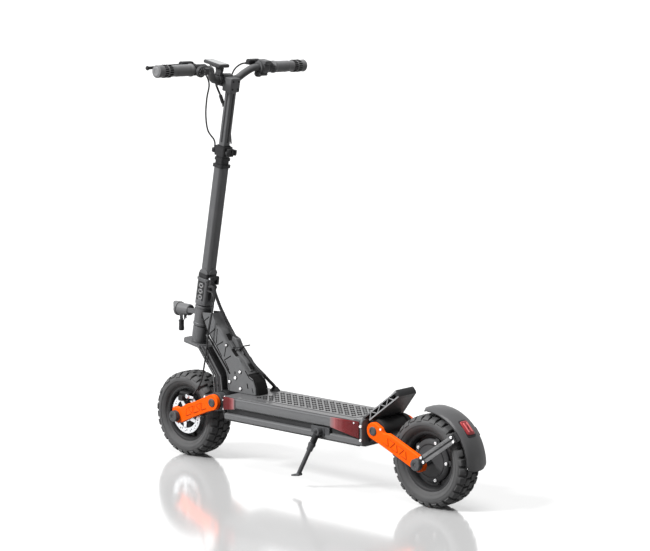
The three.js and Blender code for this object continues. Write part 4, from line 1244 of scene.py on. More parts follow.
def make_neck():
    plate = soft_slab(beside(NECK, NECK_OUTLINE), 4, 3, 21.5, 26, 0.9)
    both = Solid().join(plate, plate.mirrored())
    bottom = slab(beside(NECK, [(4, 1), (110, 1), (110, 6), (4, 6)]), -22, 22, 0.8)
    front = slab(
        beside(
            NECK,
            [(222, 216), (193, 160), (121, 56), (109, 3), (104, 3), (115, 56), (188, 163), (214, 216)],
        ),
        -22, 22, 0.6,
    )
    low, high = 406, 468
    profile = both_ends([(19.5, 0), (25.6, 0), (26.6, 1.5), (26.6, 7), (25.2, 9)], high - low)
    tube = turned_on(stem(0, 0, low), STEER_AXIS, profile, 56, loop=True)
    ears = Solid()
    for y in (-16.3, 13.3):
        ears.join(tile((455, 432.5, 495, 447.5), 5, 3, y, y + 3, 0.5))
    piece(
        "neck_plates", Solid().join(both, bottom, front), NECK_PAINT, "deck", ["neck_frame"],
        30,
    )
    piece("head_tube", Solid().join(tube, ears), STEM_PAINT, "deck", (), 30)
    # The pressed lines are near-black: painted shade in their grooves.
    lines = Solid()
    for line in NECK_LINES:
        lines.join(groove(line))
    lines.join(groove(NECK_FOLD, 4.4), groove(NECK_FRONT, 5.5), groove(NECK_SLOT, 4.5))
    lines.join(groove([(285, 281), (285, 272)], 4), groove([(244, 288), (228, 269), (212, 262)], 2.4))
    lines.join(groove([(236, 251), (232, 236)], 4), groove([(216, 240), (211, 226)], 2.4))
    piece("neck_line_painted_shade", Solid().join(lines, lines.mirrored()), PAINTED_SHADE_BLACK, "deck", ())
    fold = Solid()
    for start, end, width in (
        ((404, 377), (373, 341), 3.4), ((373, 341), (317, 275), 3.4), ((317, 275), (311, 222), 3.4),
    ):
        fold.join(strip(start, end, width, 25.2, 27.6, side_on))
    piece("neck_flange", Solid().join(fold, fold.mirrored()), NECK_PAINT, "deck", ())
    heads, washers = Solid(), Solid()
    for x, z in ((120, 135.7), (64, 62.7), (83, 42.7), (107, 28.7), (62, 12.7)):
        for side in (1, -1):
            place = Vector((NECK.x + x, side * 26.2, NECK.z + z))
            heads.join(bolt(place + LEFT * side * 0.8, LEFT * side, 4.6 if z < 100 else 3.4, 3.0))
            washers.join(turned_on(place - LEFT * side, LEFT * side, [(6.4, 0), (6.4, 1.6), (5.6, 2.0)], 20))
    piece("neck_bolts", heads, ZINC, "deck")
    piece("neck_washers", washers, BLACK, "deck")


# (x, z) points up the back of the neck.
COVER_LINE = [(234, 277), (262, 308), (290, 329), (322, 364), (342, 391), (362, 410), (382, 443)]


def cover_path():
    """The line up the back of the neck, and the way out of the cover at each of its points."""
    path = curve_through([Vector((a, 0, b)) for a, b in COVER_LINE], 10)
    outs = []
    for i in range(len(path)):
        along = (path[min(i + 1, len(path) - 1)] - path[max(i - 1, 0)]).normalized()
        out = LEFT.cross(along)
        outs.append(-out if out.x > 0 else out)
    return path, outs


def cover_patch(z_low, z_high, y_low, y_high, low, high):
    """A strip laid on the cover between two heights, from low to high above its line."""
    path, outs = cover_path()
    rings = []
    for here, out in zip(path, outs):
        if z_low <= here.z <= z_high:
            corner = min(1.0, (high - low) / 3)
            shape = [
                (y_low, low), (y_high, low), (y_high, high - corner), (y_high - corner, high),
                (y_low + corner, high), (y_low, high - corner),
            ]
            rings.append([here + LEFT * y + out * t for y, t in shape])
    return loft(rings)


def make_neck_cover():
    """The cover that closes the back of the neck, its windows filled with painted shade and the clip that
    holds the harness.
    """
    path, outs = cover_path()
    rings = []
    for i, (here, out) in enumerate(zip(path, outs)):
        lift = 2.6 - 2.0 * max(0, i / (len(path) - 1) - 0.9) / 0.1
        shape = [(24.8, -4), (24.8, -0.5), (23.8, lift * 0.5), (21.5, lift * 0.85), (15, lift)]
        shape = shape + [(-y, t) for y, t in reversed(shape)]
        rings.append([here + LEFT * y + out * t for y, t in shape])
    piece("neck_back_cover", loft(rings), COVER_PLASTIC, "deck", ["neck_cover"], 45)
    # Near-black patches over the cover's openings: painted shade inside them.
    windows = ((362, 384, -3, 14, 1.5, 3.3), (347, 362, -1, 5, 1.5, 3.0), (322, 344, 12, 24, 1.5, 3.0),
               (284, 300, -8, 9, 3.0, 7.6))
    piece("neck_window_painted_shade", Solid().join(*[cover_patch(*w) for w in windows]), PAINTED_SHADE_BLACK, "deck")
    ribs = ((346, 366, 6, 17, 1.5, 5.5), (282, 343, -1, 11, 1.5, 6.0), (302, 343, -3, 9, 4.0, 7.2))
    raised = Solid().join(*[cover_patch(*rib) for rib in ribs])
    piece("neck_cover_ribs", raised, COVER_PLASTIC, "deck", ())
    block = soft_slab([(319, 379), (303, 372), (287, 344), (298, 338), (322, 368)], 2.5, 3, -17, 3, 1.2)
    foot = soft_slab([(285, 343), (276, 330), (280, 326), (292, 336)], 1.5, 2, -15, -2, 0.8)
    piece("harness_clip", Solid().join(block, foot), COVER_PLASTIC, "deck", ())
    # A near-black plate in the neck's open foot: painted shade of its dark inside.
    gusset = soft_slab(
        [(238, 280), (222, 272), (206, 256), (198, 238), (194, LID_TOP + 0.6), (214, LID_TOP + 0.6)], 3, 3,
        -21, 21, 1,
    )
    piece("neck_gusset_painted_shade", gusset, PAINTED_SHADE_BLACK, "deck", ())
    tie = curve_through([(302, 23, 344), (294, 12, 348), (285, 1, 351), (277, -14, 354)], 4)
    piece("harness_tie", sweep(tie, 1.6, 8), CABLE, "deck")
    tail = curve_through([(280, -11, 353), (274, -16, 354), (268, -21, 356)], 4)
    piece("harness_tie_tail", sweep(tail, 1.9, 8), RUBBER, "deck")
    boss = turned_on(
        Vector((217, -72, LID_TOP + 0.2)), UP,
        [(15, 0), (15, 1.4), (12, 5), (8.5, 9.5), (6.6, 11), (5.6, 11)], 28,
    )
    piece("harness_grommet", boss, RUBBER, "deck", ())


make_neck()
make_neck_cover()

# ---- Fork ----


def make_fork():
    """The crown under the head tube, a swept channel leg and the saddle round the torsion tube."""
    crown = turned_on(
        stem(0, 0, 350), STEER_AXIS, [(16, 0), (25, 0), (25.4, 2), (25.4, 50), (24, 53.4), (16, 53.4)], 56,
        loop=True,
    )
    plate = soft_slab(
        [(-36, -34), (34, -34), (52, -16), (52, 16), (34, 34), (-36, 34)], 6, 3, 345, 353, 1.4, stem,
    )
    piece("fork_crown", Solid().join(crown, plate), STEM_PAINT, "steering", ["fork"], 30)
    leg = Solid()
    for side in (1, -1):
        ring = rounded([(434, 343), (364, 260), (360, 206), (330, 214), (336, 258), (402, 343)], 6, 3)
        leg.join(slab(ring, *on_side(side, 26, 33), 1.6))
    panel = rounded([(430, 341), (361, 258), (356, 212), (344, 214), (350, 260), (414, 341)], 4, 3)
    inner = rounded([(398, 341), (336, 258), (332, 216), (338, 214), (343, 256), (408, 341)], 3, 3)
    leg.join(slab(panel, -27, 27, 1), slab(inner, -27, 27, 1))
    saddle = turned_on(FRONT_PIVOT - LEFT * 34, LEFT, hoop(28.4, 33, 68, 0.6), 48, loop=True)
    piece("fork_leg", Solid().join(leg, saddle), BLACK, "steering", (), 30)
    flanges = Solid()
    outer = [(436, 344), (367, 262), (362, 210)]
    middle = [(420, 343), (353, 261), (349, 214)]
    rear = [(402, 343), (337, 260), (331, 218)]
    for side in (1, -1):
        for run, width, high in ((outer, 3.2, 36), (middle, 2.0, 34.5), (rear, 3.2, 36)):
            for start, end in zip(run, run[1:]):
                flanges.join(strip(start, end, width, *on_side(side, 32, high), side_on))
    piece("fork_flanges", flanges, NECK_PAINT, "steering", ())
    half = 59.0
    profile = both_ends([(13.5, 0), (26.5, 0), (28, 1.5), (28, 14), (27, 15)], 2 * half)
    tube = turned_on(FRONT_PIVOT - LEFT * half, LEFT, profile, 48, loop=True)
    piece("front_torsion_housing", tube, PAINT, "steering", ["front_torsion_tube"], 30)
    heads = Solid()
    for side in (1, -1):
        for x, z in ((350, 232), (362, 266), (390, 300)):
            heads.join(bolt(Vector((x, side * 33, z)), LEFT * side, 3.2, 2.4, 14))
    piece("fork_bolts", heads, BLACK, "steering")


make_fork()

# ---- Callipers ----


def make_calliper(end, axle, side, turn):
    """A cast body astride the disc, with two bolts, a pad carrier and cooling ribs."""
    body = f"{end}_suspension"
    made, heads = Solid(), Solid()

    def block(x0, x1, y0, y1, z0, z1, radius=3):
        span = on_side(side, y0, y1)
        box = axle.x + x0, axle.z + z0, axle.x + x1, axle.z + z1
        return tile(box, radius, 3, *span, 0.9).turned(turn, LEFT, axle)

    made.join(block(42, 66, 34.5, 45, -20, 20, 5), block(42, 66, 22, 28.6, -20, 20, 5))
    made.join(block(60, 68, 24, 44, -19, 19), block(44, 60, 44, ARM_INNER - 0.4, -9, 9))
    for k in range(4):
        made.join(block(46, 62, 44.6, 47.5, -15 + k * 4 - 1, -15 + k * 4 + 1, 0.6))
    for z in (-14, 14):
        place = axle + Matrix.Rotation(turn, 3, LEFT) @ Vector((54, side * 45, z))
        heads.join(bolt(place, LEFT * side, 3.6, 3))
    piece(f"{end}_calliper_body", made, BLACK, body, [f"{end}_calliper"])
    piece(f"{end}_calliper_bolts", heads, STEEL, body)


make_calliper("front", FRONT_AXLE, 1, radians(-93))
make_calliper("rear", REAR_AXLE, -1, radians(-55))


def make_calliper_lever():
    low, high = corners("calliper_lever")
    at = pivot("calliper_lever")
    tip = Vector((low.x, 0, high.z))
    arm = beside(at, [(6, -4), (6, 5)]) + beside(tip, [(4, -5), (0, -7), (2, -12)]) + beside(at, [(-4, -6)])
    lever = soft_slab(arm, 3, 3, low.y + 0.2, low.y + 3, 0.6)
    hub = rod(Vector((at.x, low.y, at.z)), Vector((at.x, high.y, at.z)), 6.6, 20)
    piece(
        "calliper_arm", Solid().join(lever, hub), STEEL, "calliper_lever", ["calliper_lever"],
    )


make_calliper_lever()

# ---- Stem: (x, y, s) places in the stem's own frame ----

# Half the side of the open bore that the upper stem slides in.
BORE = 13.4
FOLD_X, FOLD_S = -26, 557
LATCH_X, LATCH_S = -31, 531
CLAMP_BOLT_X, CLAMP_BOLT_S = -28, 940
BAR_X, BAR_S = 29, 1146


def square(half):
    return rectangle(-half, -half, half, half)


def make_stem_base():
    base = tile((-23, -23, 23, 23), 12, 6, 471, 549, 1.2, stem)
    skirt = turned_on(
        stem(0, 0, 471), STEER_AXIS,
        [(19, 0), (26.5, 0), (27.4, 1.2), (27.4, 5), (25.5, 12), (23, 24), (19, 24)], 56, loop=True,
    )
    collar = tile((-24.5, -24.5, 24.5, 24.5), 11, 6, 546, 552.8, 1.0, stem)
    piece(
        "stem_base_body", Solid().join(base, skirt, collar), STEM_PAINT, "steering", ["stem_base"],
        30,
    )
    panel = tile((-13, 484, 13, 543), 3, 3, 22.4, 23.5, 0.3, stem_side)
    rear = tile((-11, 482, 11, 540), 3, 3, -23.6, -22.4, 0.3, stem_rear)
    piece(
        "stem_base_panels", Solid().join(panel, panel.mirrored(), rear), BLACK, "steering", (),
    )
    marks = Solid()
    for k in range(3):
        s = 488 + 18 * k
        for a0, b0, a1, b1 in (
            (-9, s, 9, s + 3.6), (-9, s + 10, 9, s + 13.6), (-9, s, -5, s + 13.6), (5, s, 9, s + 13.6),
        ):
            marks.join(slab(rectangle(a0, b0, a1, b1), 23.3, 24.0, 0.15, stem_side))
    piece("stem_base_marks", marks, PALE_MARK, "steering", ())
    lugs = Solid()
    for side in (1, -1):
        span = on_side(side, 9, 17)
        ring = arc((FOLD_X, FOLD_S), 6.4, 0, 180, 10) + [(-33, 538), (-20, 538)]
        lugs.join(slab(ring, *span, 0.8, stem_side))
    piece("fold_hinge_lugs", lugs, BLACK, "steering", ())
    pin = rod(stem(FOLD_X, -19, FOLD_S), stem(FOLD_X, 19, FOLD_S), 3, 16)
    piece("fold_hinge_pin", pin, STEEL, "steering", ())


def make_latch():
    low, high = 486, LATCH_S
    blade = soft_slab(
        [(-36, low), (-29.5, low + 1), (-28.5, 515), (-27, high + 3), (-34, high + 5), (-36, 520)], 2, 3,
        -7, 7, 1, stem_side,
    )
    ribs = Solid()
    for k in range(5):
        ribs.join(tile((-37, 490 + k * 4, -35.4, 492 + k * 4), 0.6, 2, -5.5, 5.5, 0.3, stem_side))
    hub = rod(stem(LATCH_X, -8, LATCH_S), stem(LATCH_X, 8, LATCH_S), 5.2, 20)
    piece(
        "fold_latch_lever", Solid().join(blade, ribs, hub), BLACK, "fold_latch", ["fold_latch"],
    )


def stem_profile():
    """The stem's section: flat sides, wide chamfers and soft edges."""
    h, c = 19.2, 8.5
    ring = [
        (-h + c, -h), (h - c, -h), (h, -h + c), (h, h - c), (h - c, h), (-h + c, h), (-h, h - c),
        (-h, -h + c),
    ]
    return rounded(ring, 3, 3)


def make_stem_tube():
    bore = [(x * 0.7, y * 0.7) for x, y in stem_profile()]
    tube = sleeve(stem_profile(), bore, 566, 899, stem)
    collar = sleeve(rounded(square(20.5), 9, 4), rounded(square(BORE), 4, 4), 891, 900.4, stem)
    flange = tile((-18.2, -22, 22, 22), 9, 4, 553.7, 567, 1.0, stem)
    knuckle = rod(stem(FOLD_X, -8.4, FOLD_S), stem(FOLD_X, 8.4, FOLD_S), 6.4, 20)
    web = tile((-26, 554, -16, 566), 2, 2, -8.4, 8.4, 0.6, stem_side)
    piece("stem_lower", tube, STEM_PAINT, "stem", ["stem_tube"], 24)
    piece("stem_collar", Solid().join(collar, flange, knuckle, web), BLACK, "stem", ())
    ring = rounded([(-17, 567), (17, 567), (17, 573), (0, 588), (-17, 573)], 2, 2)
    chevron = Solid()
    for side in (1, -1):
        chevron.join(slab(ring, *on_side(side, 18.6, 20.6), 0.5, stem_side))
    chevron.join(slab(ring, -20.6, -18.6, 0.5, stem_rear))
    piece("stem_foot_plates", chevron, STEM_PAINT, "stem", ())


def make_clamp():
    bore = rounded(square(BORE), 4, 5)
    band = sleeve(rounded(rectangle(-21, -19, 21, 19), 8, 5), bore, 926, 954, stem)
    neck_part = sleeve(rounded(square(15.4), 6, 5), bore, 899, 957, stem)
    lower = sleeve(rounded(square(18), 7, 5), bore, 912, 920, stem)
    ears = Solid()
    for side in (1, -1):
        ears.join(tile((-33, 928, -18, 952), 4, 3, *on_side(side, 2, 10.5), 0.8, stem_side))
    guide = turned_on(stem(25, 12, 932), STEER_AXIS, hoop(3.6, 8, 12, 0.6), 20, loop=True)
    piece(
        "clamp_band", Solid().join(band, neck_part, lower, ears, guide), BLACK, "stem", ["height_clamp"],
        30,
    )
    bolt_rod = rod(stem(CLAMP_BOLT_X, -12, CLAMP_BOLT_S), stem(CLAMP_BOLT_X, 15, CLAMP_BOLT_S), 3, 14)
    nut = turned_on(stem(CLAMP_BOLT_X, 11, CLAMP_BOLT_S), LEFT, [(6.2, 0), (6.2, 4.5), (5.4, 5.5)], 6)
    piece("clamp_bolt", Solid().join(bolt_rod, nut), BLACK, "stem", ())
    cam = rod(stem(CLAMP_BOLT_X, -18.5, CLAMP_BOLT_S - 8), stem(CLAMP_BOLT_X, -18.5, CLAMP_BOLT_S + 8), 6, 24)
    blade = soft_slab(
        [(-32, -24.5), (14, -25.5), (16, -22.5), (8, -20.8), (-20, -20), (-32, -15)], 2, 3, 934, 946, 1.4,
        stem,
    )
    piece("clamp_quick_lever", Solid().join(cam, blade), BLACK, "clamp_lever", ["clamp_lever"])


def make_upper_tube():
    tube = soft_slab(square(12.5), 5, 5, 780, 1126, 0.6, stem)
    groove_line = tile((-3, 966, 3, 1112), 2.5, 3, 12.2, 12.9, 0.2, stem_side)
    back = tile((-3, 966, 3, 1112), 2.5, 3, -12.9, -12.2, 0.2, stem_rear)
    piece("stem_upper", tube, STEM_PAINT, "handlebar", ["upper_tube"], 30)
    piece(
        "stem_upper_grooves", Solid().join(groove_line, groove_line.mirrored(), back), BLACK, "handlebar",
        (),
    )
    box = tile((-16.5, -19, 19, 19), 4, 4, 1117, 1158, 1.6, stem)
    cap = soft_slab(
        arc((BAR_X, BAR_S), 18.6, -110, 110, 14) + [(16, 1162), (16, 1130)], 2, 2, -19, 19, 1.4, stem_side,
    )
    piece("bar_clamp", Solid().join(box, cap), STEM_PAINT, "handlebar", (), 30)
    heads = Solid()
    for side in (1, -1):
        for s in (1157, 1135):
            heads.join(bolt(stem(42, side * 12, s), STEM_AHEAD, 3.4, 2.6, 14))
        for s in (1149, 1126):
            heads.join(bolt(stem(-16.6, side * 11, s), -STEM_AHEAD, 3.2, 2.0, 14))
    piece("bar_clamp_bolts", heads, BLACK, "handlebar")
    split = slab(rectangle(19.4, -19.2, 20.4, 19.2), 1128, 1162, 0.2, stem)
    piece("bar_clamp_split", split, RUBBER, "handlebar")


make_stem_base()
make_latch()
make_stem_tube()
make_clamp()
make_upper_tube()

# ---- Handlebar and what it carries ----

GRIP_X, GRIP_S = 5, 1184
# The line of the bar's left half, from its middle to its end.
BAR = [
    (BAR_X, 0, BAR_S), (BAR_X, 32, BAR_S), (28, 50, 1149), (21, 68, 1165), (10, 84, 1180),
    *[(GRIP_X, y, GRIP_S) for y in (98, 112, 200, 297)],
]


def make_bar():
    right = [(x, -y, s) for x, y, s in reversed(BAR)]
    line = curve_through([stem(*p) for p in right + BAR[1:]], 8)
    piece("bent_bar", sweep(line, 11, 24), COVER_PLASTIC, "handlebar", ["handlebar"], 50)


def make_grips():
    for side, word in SIDES:
        start = stem(GRIP_X, side * 165, GRIP_S)
        out = LEFT * side
        profile = [(12, 0), (17.5, 0), (18.4, 1.2), (18.4, 6), (17.2, 8), (16.4, 10)]
        length = 136
        for k in range(9):
            a = 16 + k * 5.2
            profile += [(16.4, a), (16.9, a + 0.9), (16.9, a + 2.6), (16.4, a + 3.5)]
        profile += [
            (16.2, 70), (16.6, 84), (17.0, 100), (17.6, length - 8), (18.2, length - 6), (18.2, length - 2),
            (16.6, length - 0.4), (12, length - 0.4),
        ]
        grip = turned_on(start, out, profile, 48)
        # Near-black slots near the grip's end: painted shade in the openings.
        slots = Solid()
        for k in range(16):
            turn = tau * k / 16
            for d0, d1, shift in ((84, 96, 0.0), (102, 114, pi / 16)):
                offset = (STEM_AHEAD * cos(turn + shift) + STEER_AXIS * sin(turn + shift)) * 16.6
                slots.join(sweep([start + out * d0 + offset, start + out * d1 + offset * 1.02], 2.0, 8))
        piece(f"grip_sleeve_{word}", grip, GRIP_RUBBER, "handlebar", [f"grip_{word}"], 40)
        piece(f"grip_slot_painted_shade_{word}", slots, PAINTED_SHADE_BLACK, "handlebar", ())
        cap = turned_on(
            start + out * (length - 2), out,
            [(13, 0), (13, 2.4), (12, 3.2), (8, 3.6), (7.6, 2.8), (4, 2.8)], 36,
        )
        piece(f"grip_end_{word}", cap, GREY_METAL, "handlebar", ())


def make_levers():
    for side, word in SIDES:
        ring = turned_on(
            stem(GRIP_X, side * 138, GRIP_S), LEFT * side, hoop(11.2, 16.2, 18, 0.8), 32, loop=True,
        )
        arm_near, arm_far = on_side(side, 120, 157)
        arm = tile((25, arm_near, 52, arm_far), 4, 3, 1179, 1183, 0.8, stem)
        reservoir_span = (140, 188) if side > 0 else (-134, -84)
        box = tile((20, reservoir_span[0], 38, reservoir_span[1]), 5, 4, 1188, 1202, 1.6, stem)
        link_span = (139, 156) if side > 0 else (-155, -120)
        link = tile((10 if side > 0 else 27, link_span[0], 36, link_span[1]), 3, 3, 1179, 1194, 1.0, stem)
        lid = tile((22, reservoir_span[0] + 2, 36, reservoir_span[1] - 2), 4, 4, 1201.5, 1203.5, 0.6, stem)
        pin = rod(stem(46, side * 132, 1178), stem(46, side * 132, 1196), 3, 16)
        barrel = rod(stem(52, side * 122, 1186), stem(54, side * 104, 1187), 4.4, 16)
        piece(
            f"lever_perch_{word}", Solid().join(ring, arm, box, link, lid, pin, barrel), BLACK, "handlebar",
            (), 30,
        )
        places = ((46, 126, 1188), (52, 160, 1188), (60, 200, 1185), (60, 250, 1183), (58, 284, 1182))
        path = curve_through([stem(x, side * y, s) for x, y, s in places])
        blade = sweep(path, lambda t: 5.2 - t, 14)
        tip = turned_on(
            stem(58, side * 284, 1182), LEFT * side, [(4, -3), (6, -1), (6.6, 1.5), (5.4, 4), (3, 5)], 20,
        )
        hub = rod(stem(46, side * 132, 1183.6), stem(46, side * 132, 1193), 8, 24)
        piece(
            f"brake_blade_{word}", Solid().join(blade, tip, hub), BLACK, f"brake_lever_{word}",
            [f"brake_lever_{word}"], 40,
        )


def make_throttle():
    housing = turned_on(
        stem(GRIP_X, -111, GRIP_S), -LEFT,
        [(11.3, 0), (18, 0), (21, 3), (21.6, 8), (21.6, 22), (19, 26), (11.3, 26)], 40, loop=True,
    )
    ledge = tile((-19, -137, 14, -111), 5, 4, 1196, 1207, 1.6, stem)
    clamp = tile((-12, 1161, 14, 1170), 4, 3, -134, -113, 1.6, stem_side)
    piece(
        "throttle_housing", Solid().join(housing, ledge, clamp), HOUSING_PLASTIC, "handlebar", (),
        30,
    )
    ring = turned_on(
        stem(GRIP_X, -104.2, GRIP_S), -LEFT, [(12.2, 0), (17.6, 0), (17.6, 5.6), (12.2, 5.6)], 36,
        loop=True,
    )
    lobe = [(-13, 1163), (-6, 1157), (6, 1156), (14, 1162), (12, 1171), (-4, 1172)]
    paddle = soft_slab(lobe, 4, 3, -110.4, -100, 2, stem_side)
    piece(
        "throttle_thumb", Solid().join(ring, paddle), HOUSING_PLASTIC, "throttle_paddle",
        ["throttle_paddle"], 30,
    )
    spacer = turned_on(stem(GRIP_X, -147, GRIP_S), -LEFT, hoop(11.3, 16.5, 9, 1.0), 36, loop=True)
    piece("throttle_spacer", spacer, BLACK, "handlebar", (), 30)


def make_pod():
    """The switch pod beside the grip: a round face towards the rider, with a ring of small windows."""
    y = corners("switch_pod")[1].y - 15.5
    ring = turned_on(stem(GRIP_X, 112.4, GRIP_S), LEFT, hoop(11.5, 16.2, 25, 0.8), 36, loop=True)
    arm = soft_slab(
        [(-25, 122), (-25, 146), (-15, 152), (-14, 137), (-4, 137), (-4, 116), (-20, 116)], 3, 3, 1175,
        1193, 1.4, stem,
    )
    face = turned_on(
        stem(-14.4, y, GRIP_S), -STEM_AHEAD,
        [(12, 0), (15.6, 1.5), (16, 4), (16, 9), (15.2, 11.5), (13.4, 12.4), (6, 12.6), (5.4, 12), (5.4, 9)],
        44,
    )
    piece(
        "pod_body", Solid().join(ring, arm, face), PLASTIC, "handlebar", ["switch_pod"],
        32,
    )
    windows = Solid()
    for k in range(8):
        turn = tau * (k + 0.5) / 8
        offset = LEFT * (10 * cos(turn)) + STEER_AXIS * (10 * sin(turn))
        windows.join(rod(stem(-26, y, GRIP_S) + offset, stem(-27.2, y, GRIP_S) + offset, 2.3, 14, 0.3))
    piece("pod_windows", windows, PALE_MARK, "handlebar", ())
    button = turned_on(stem(-23, y, GRIP_S), -STEM_AHEAD, [(5, 0), (5, 4.2), (4.4, 5.0), (2, 5.3)], 28)
    piece("pod_button", button, BLACK, "horn_button", ["horn_button"])


def make_display():
    """The display: a slab with a glass face that leans back towards the rider, on a finned bracket."""
    middle_x, middle_y, middle_s, lean = 48, 24, 1190, radians(2)

    def tilted(a, b, t):
        return stem(
            middle_x + a * cos(lean) - t * sin(lean), middle_y + b,
            middle_s + a * sin(lean) + t * cos(lean),
        )

    case = tile((-36, -21, 36, 21), 7, 5, -4.4, 4.2, 1.8, tilted)
    lip = tile((-34, -19, 34, 19), 6, 5, 3.8, 4.9, 0.5, tilted)
    glass = tile((-30, -16, 30, 16), 4, 5, 4.6, 5.3, 0.2, tilted)
    keel = tile((-24, -12, 20, 12), 5, 4, -7.5, -4, 0.8, tilted)
    ring = turned_on(stem(BAR_X, 22, BAR_S), LEFT, hoop(11.8, 16, 10, 0.6), 32, loop=True)
    post = soft_slab([(20, 1158), (38, 1158), (44, 1184), (16, 1184)], 3, 3, 22, 32, 1, stem_side)
    fins = Solid()
    for k in range(6):
        fins.join(tile((-22 + k * 7, -10, -19 + k * 7, 10), 1, 2, -10, -6.5, 0.4, tilted))
    piece(
        "display_case", Solid().join(case, lip, keel, ring, post, fins), PLASTIC, "handlebar", ["display"],
        32,
    )
    # The glass's pale grey is a painted reflection.
    piece("display_glass", glass, SCREEN_GLASS_PAINTED_SHEEN, "handlebar", ())


make_bar()
make_grips()
make_levers()
make_throttle()
make_pod()
make_display()

# ---- Headlight and horn ----


def make_headlight():
    low, high = corners("headlight")
    middle = (low + high) / 2
    back = Vector((low.x + 9, 0, middle.z))
    reach = high.x - back.x
    radius = (high.z - low.z) / 2
    body = [
        (8.5, 3), (radius - 8, 3), (radius - 7.6, 0.6), (radius - 6, 0), (radius - 3.6, 1.6),
        (radius - 2.6, 6), (radius - 2.2, reach * 0.55), (radius - 1, reach - 9),
        (
            radius + 1.4, reach - 6,
        ), (radius + 1.6, reach), (radius - 1, reach), (radius - 3, reach - 9), (10, reach - 13),
    ]
    barrel = turned_on(back, AHEAD, body, 56)
    neck_part = rod(Vector((low.x, 0, middle.z)), back + AHEAD * 4, 6, 24)
    rings = []
    for k in range(21):
        share = k / 20
        turn = radians(10 + 160 * share)
        lip = 15 * sin(pi * share) ** 1.6
        out = Vector((0, cos(turn), sin(turn)))
        rings.append(
            [
                back + AHEAD * a + out * r for a,
                r in (
                    (reach - 8, radius), (reach - 8, radius + 1.6), (reach + lip, radius + 1.6),
                    (reach + lip, radius),
                )
            ]
        )
    grille = Solid()
    for k in range(5):
        z = middle.z - 7.8 + k * 3.6
        grille.join(tile((back.x + 1.8, z, back.x + 3.6, z + 1.4), 0.5, 2, -7, 7, 0.3))
    piece(
        "headlight_shell", Solid().join(barrel, neck_part, loft(rings)), HEADLIGHT_PLASTIC, "headlight",
        ["headlight"], 34,
    )
    piece("headlight_grille", grille, RUBBER, "headlight", ())
    lens = turned_on(
        back + AHEAD * (reach - 11), AHEAD, [(radius - 3.4, 0), (radius - 4, 3), (11, 5.4), (5, 6.8)], 40,
    )
    piece("headlight_glass", lens, LENS, "headlight", (), 40)
    horn_low, horn_high = corners("horn")
    x = (horn_low.x + horn_high.x) / 2
    horn = turned_on(
        Vector((x, 0, horn_low.z)), UP,
        [(6, 0), (7.6, 0.6), (8.4, 3), (8.4, 10), (7.8, 11), (7.8, 27), (8.4, 28), (8.4, 31), (7, 33)], 32,
    )
    stalk = tile((x - 4, horn_low.z + 31, x + 4, horn_high.z), 1.5, 2, -3, 3, 0.6)
    piece("horn_barrel", Solid().join(horn, stalk), BLACK, "headlight", ["horn"], 34)
    under = middle.z - radius
    tails = Solid()
    for start, drop in ((x - 8, 11), (x - 18, 10), (x - 24, 5)):
        line = curve_through(
            [(start, 4, under + 3), (start - 1, 5, under - drop * 0.5), (start - 3, 6, under - drop)], 5,
        )
        tails.join(sweep(line, 2.1, 10))
    piece("headlight_wires", tails, CABLE, "headlight")


make_headlight()

# ---- Charging cap, and the finishes of the CAD nodes that show as they are ----


def make_charge_cap():
    low, high = corners("charge_cap")
    at = Vector(((low.x + high.x) / 2, high.y, (low.z + 12)))
    cap = turned_on(at, -LEFT, [(11.6, 0.1), (12, 0.8), (12, 2.2), (10.6, 3), (7, 3.3), (6.4, 2.6)], 36)
    strap = tile((at.x - 5, at.z + 6, at.x + 5, high.z), 1.5, 2, low.y + 0.6, high.y, 0.5)
    piece("charge_cap_cover", Solid().join(cap, strap), RUBBER, "charge_cap", ["charge_cap"])


make_charge_cap()

CARRIED_OVER = {
    "battery_pack": WRAP,
    "motor_controller": ALUMINIUM,
    "lower_bearing": STEEL,
    "upper_bearing": STEEL,
}
for node, material in CARRIED_OVER.items():
    frame["nodes"][node].data.materials.clear()
    frame["nodes"][node].data.materials.append(material)

# ---- Studio ----

FLOOR_WHITE = 0.84
FLOOR_GLOSS_ROUGHNESS = 0.12
FLOOR_GLOSS_SHARE = 0.64
FLOOR_HALF = 900.0  # metres
ROOM_AS_LIGHT = 0.2
ROOM_IN_REFLECTIONS = 1.0
# Each light: its name, the way towards it, the degrees it spreads over and its strength.
SUNS = (("key", (0.45, 0.8, 0.75), 14, 4.9), ("top", (-0.1, 0.15, 1.0), 36, 2.6))


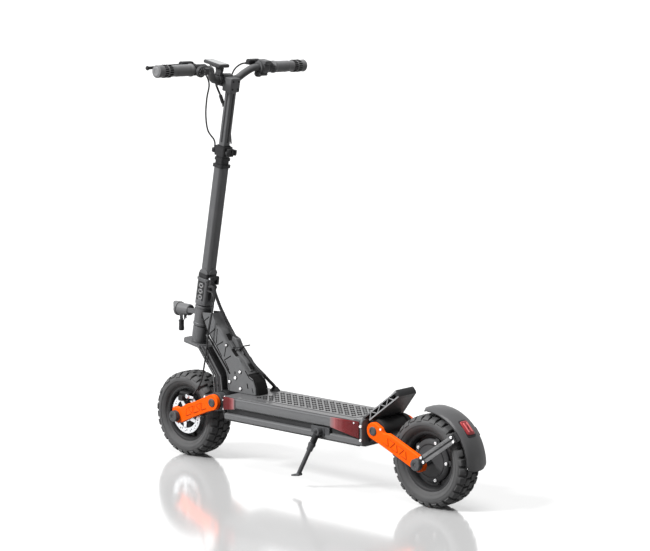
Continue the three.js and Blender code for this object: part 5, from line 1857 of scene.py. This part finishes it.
def make_floor():
    """A white floor that runs on to the horizon, with a soft reflection that fades with height."""
    material = bpy.data.materials.new("studio_floor")
    nodes, links = shader_tree(material)
    nodes.remove(nodes["Principled BSDF"])
    matt = add_node(nodes, "BsdfDiffuse", Color=(FLOOR_WHITE, FLOOR_WHITE, FLOOR_WHITE, 1))
    gloss = add_node(nodes, "BsdfAnisotropic", Color=(1, 1, 1, 1), Roughness=FLOOR_GLOSS_ROUGHNESS)
    both = add_node(nodes, "MixShader", Fac=FLOOR_GLOSS_SHARE)
    links.new(matt.outputs["BSDF"], both.inputs[1])
    links.new(gloss.outputs["BSDF"], both.inputs[2])
    links.new(both.outputs["Shader"], nodes["Material Output"].inputs["Surface"])
    mesh = bpy.data.meshes.new("floor")
    outline = rectangle(-FLOOR_HALF, -FLOOR_HALF, FLOOR_HALF, FLOOR_HALF)
    mesh.from_pydata([(x, y, 0) for x, y in outline], [], [(0, 1, 2, 3)])
    mesh.materials.append(material)
    floor = bpy.data.objects.new("floor", mesh)
    floor.visible_diffuse = False
    bpy.context.scene.collection.objects.link(floor)


def sun(name, towards, angle, strength):
    """A broad, soft light from the direction given, the same all over the studio."""
    light = bpy.data.objects.new(name, bpy.data.lights.new(name, "SUN"))
    light.data.angle = radians(angle)
    light.data.energy = strength
    light.rotation_euler = Vector(towards).to_track_quat("Z", "Y").to_euler()
    bpy.context.scene.collection.objects.link(light)


def make_studio():
    """A white room that looks brighter in a reflection than as a light, with a key light and a top light."""
    make_floor()
    world = bpy.data.worlds.new("studio")
    nodes, links = shader_tree(world)
    background = nodes["Background"]
    background.inputs["Color"].default_value = (1, 1, 1, 1)
    rays = add_node(nodes, "LightPath")
    strength = add_node(nodes, "MapRange", To_Min=ROOM_AS_LIGHT, To_Max=ROOM_IN_REFLECTIONS)
    links.new(rays.outputs["Is Glossy Ray"], strength.inputs["Value"])
    links.new(strength.outputs["Result"], background.inputs["Strength"])
    bpy.context.scene.world = world
    bpy.context.scene.view_settings.view_transform = "Standard"
    for light in SUNS:
        sun(*light)


make_studio()
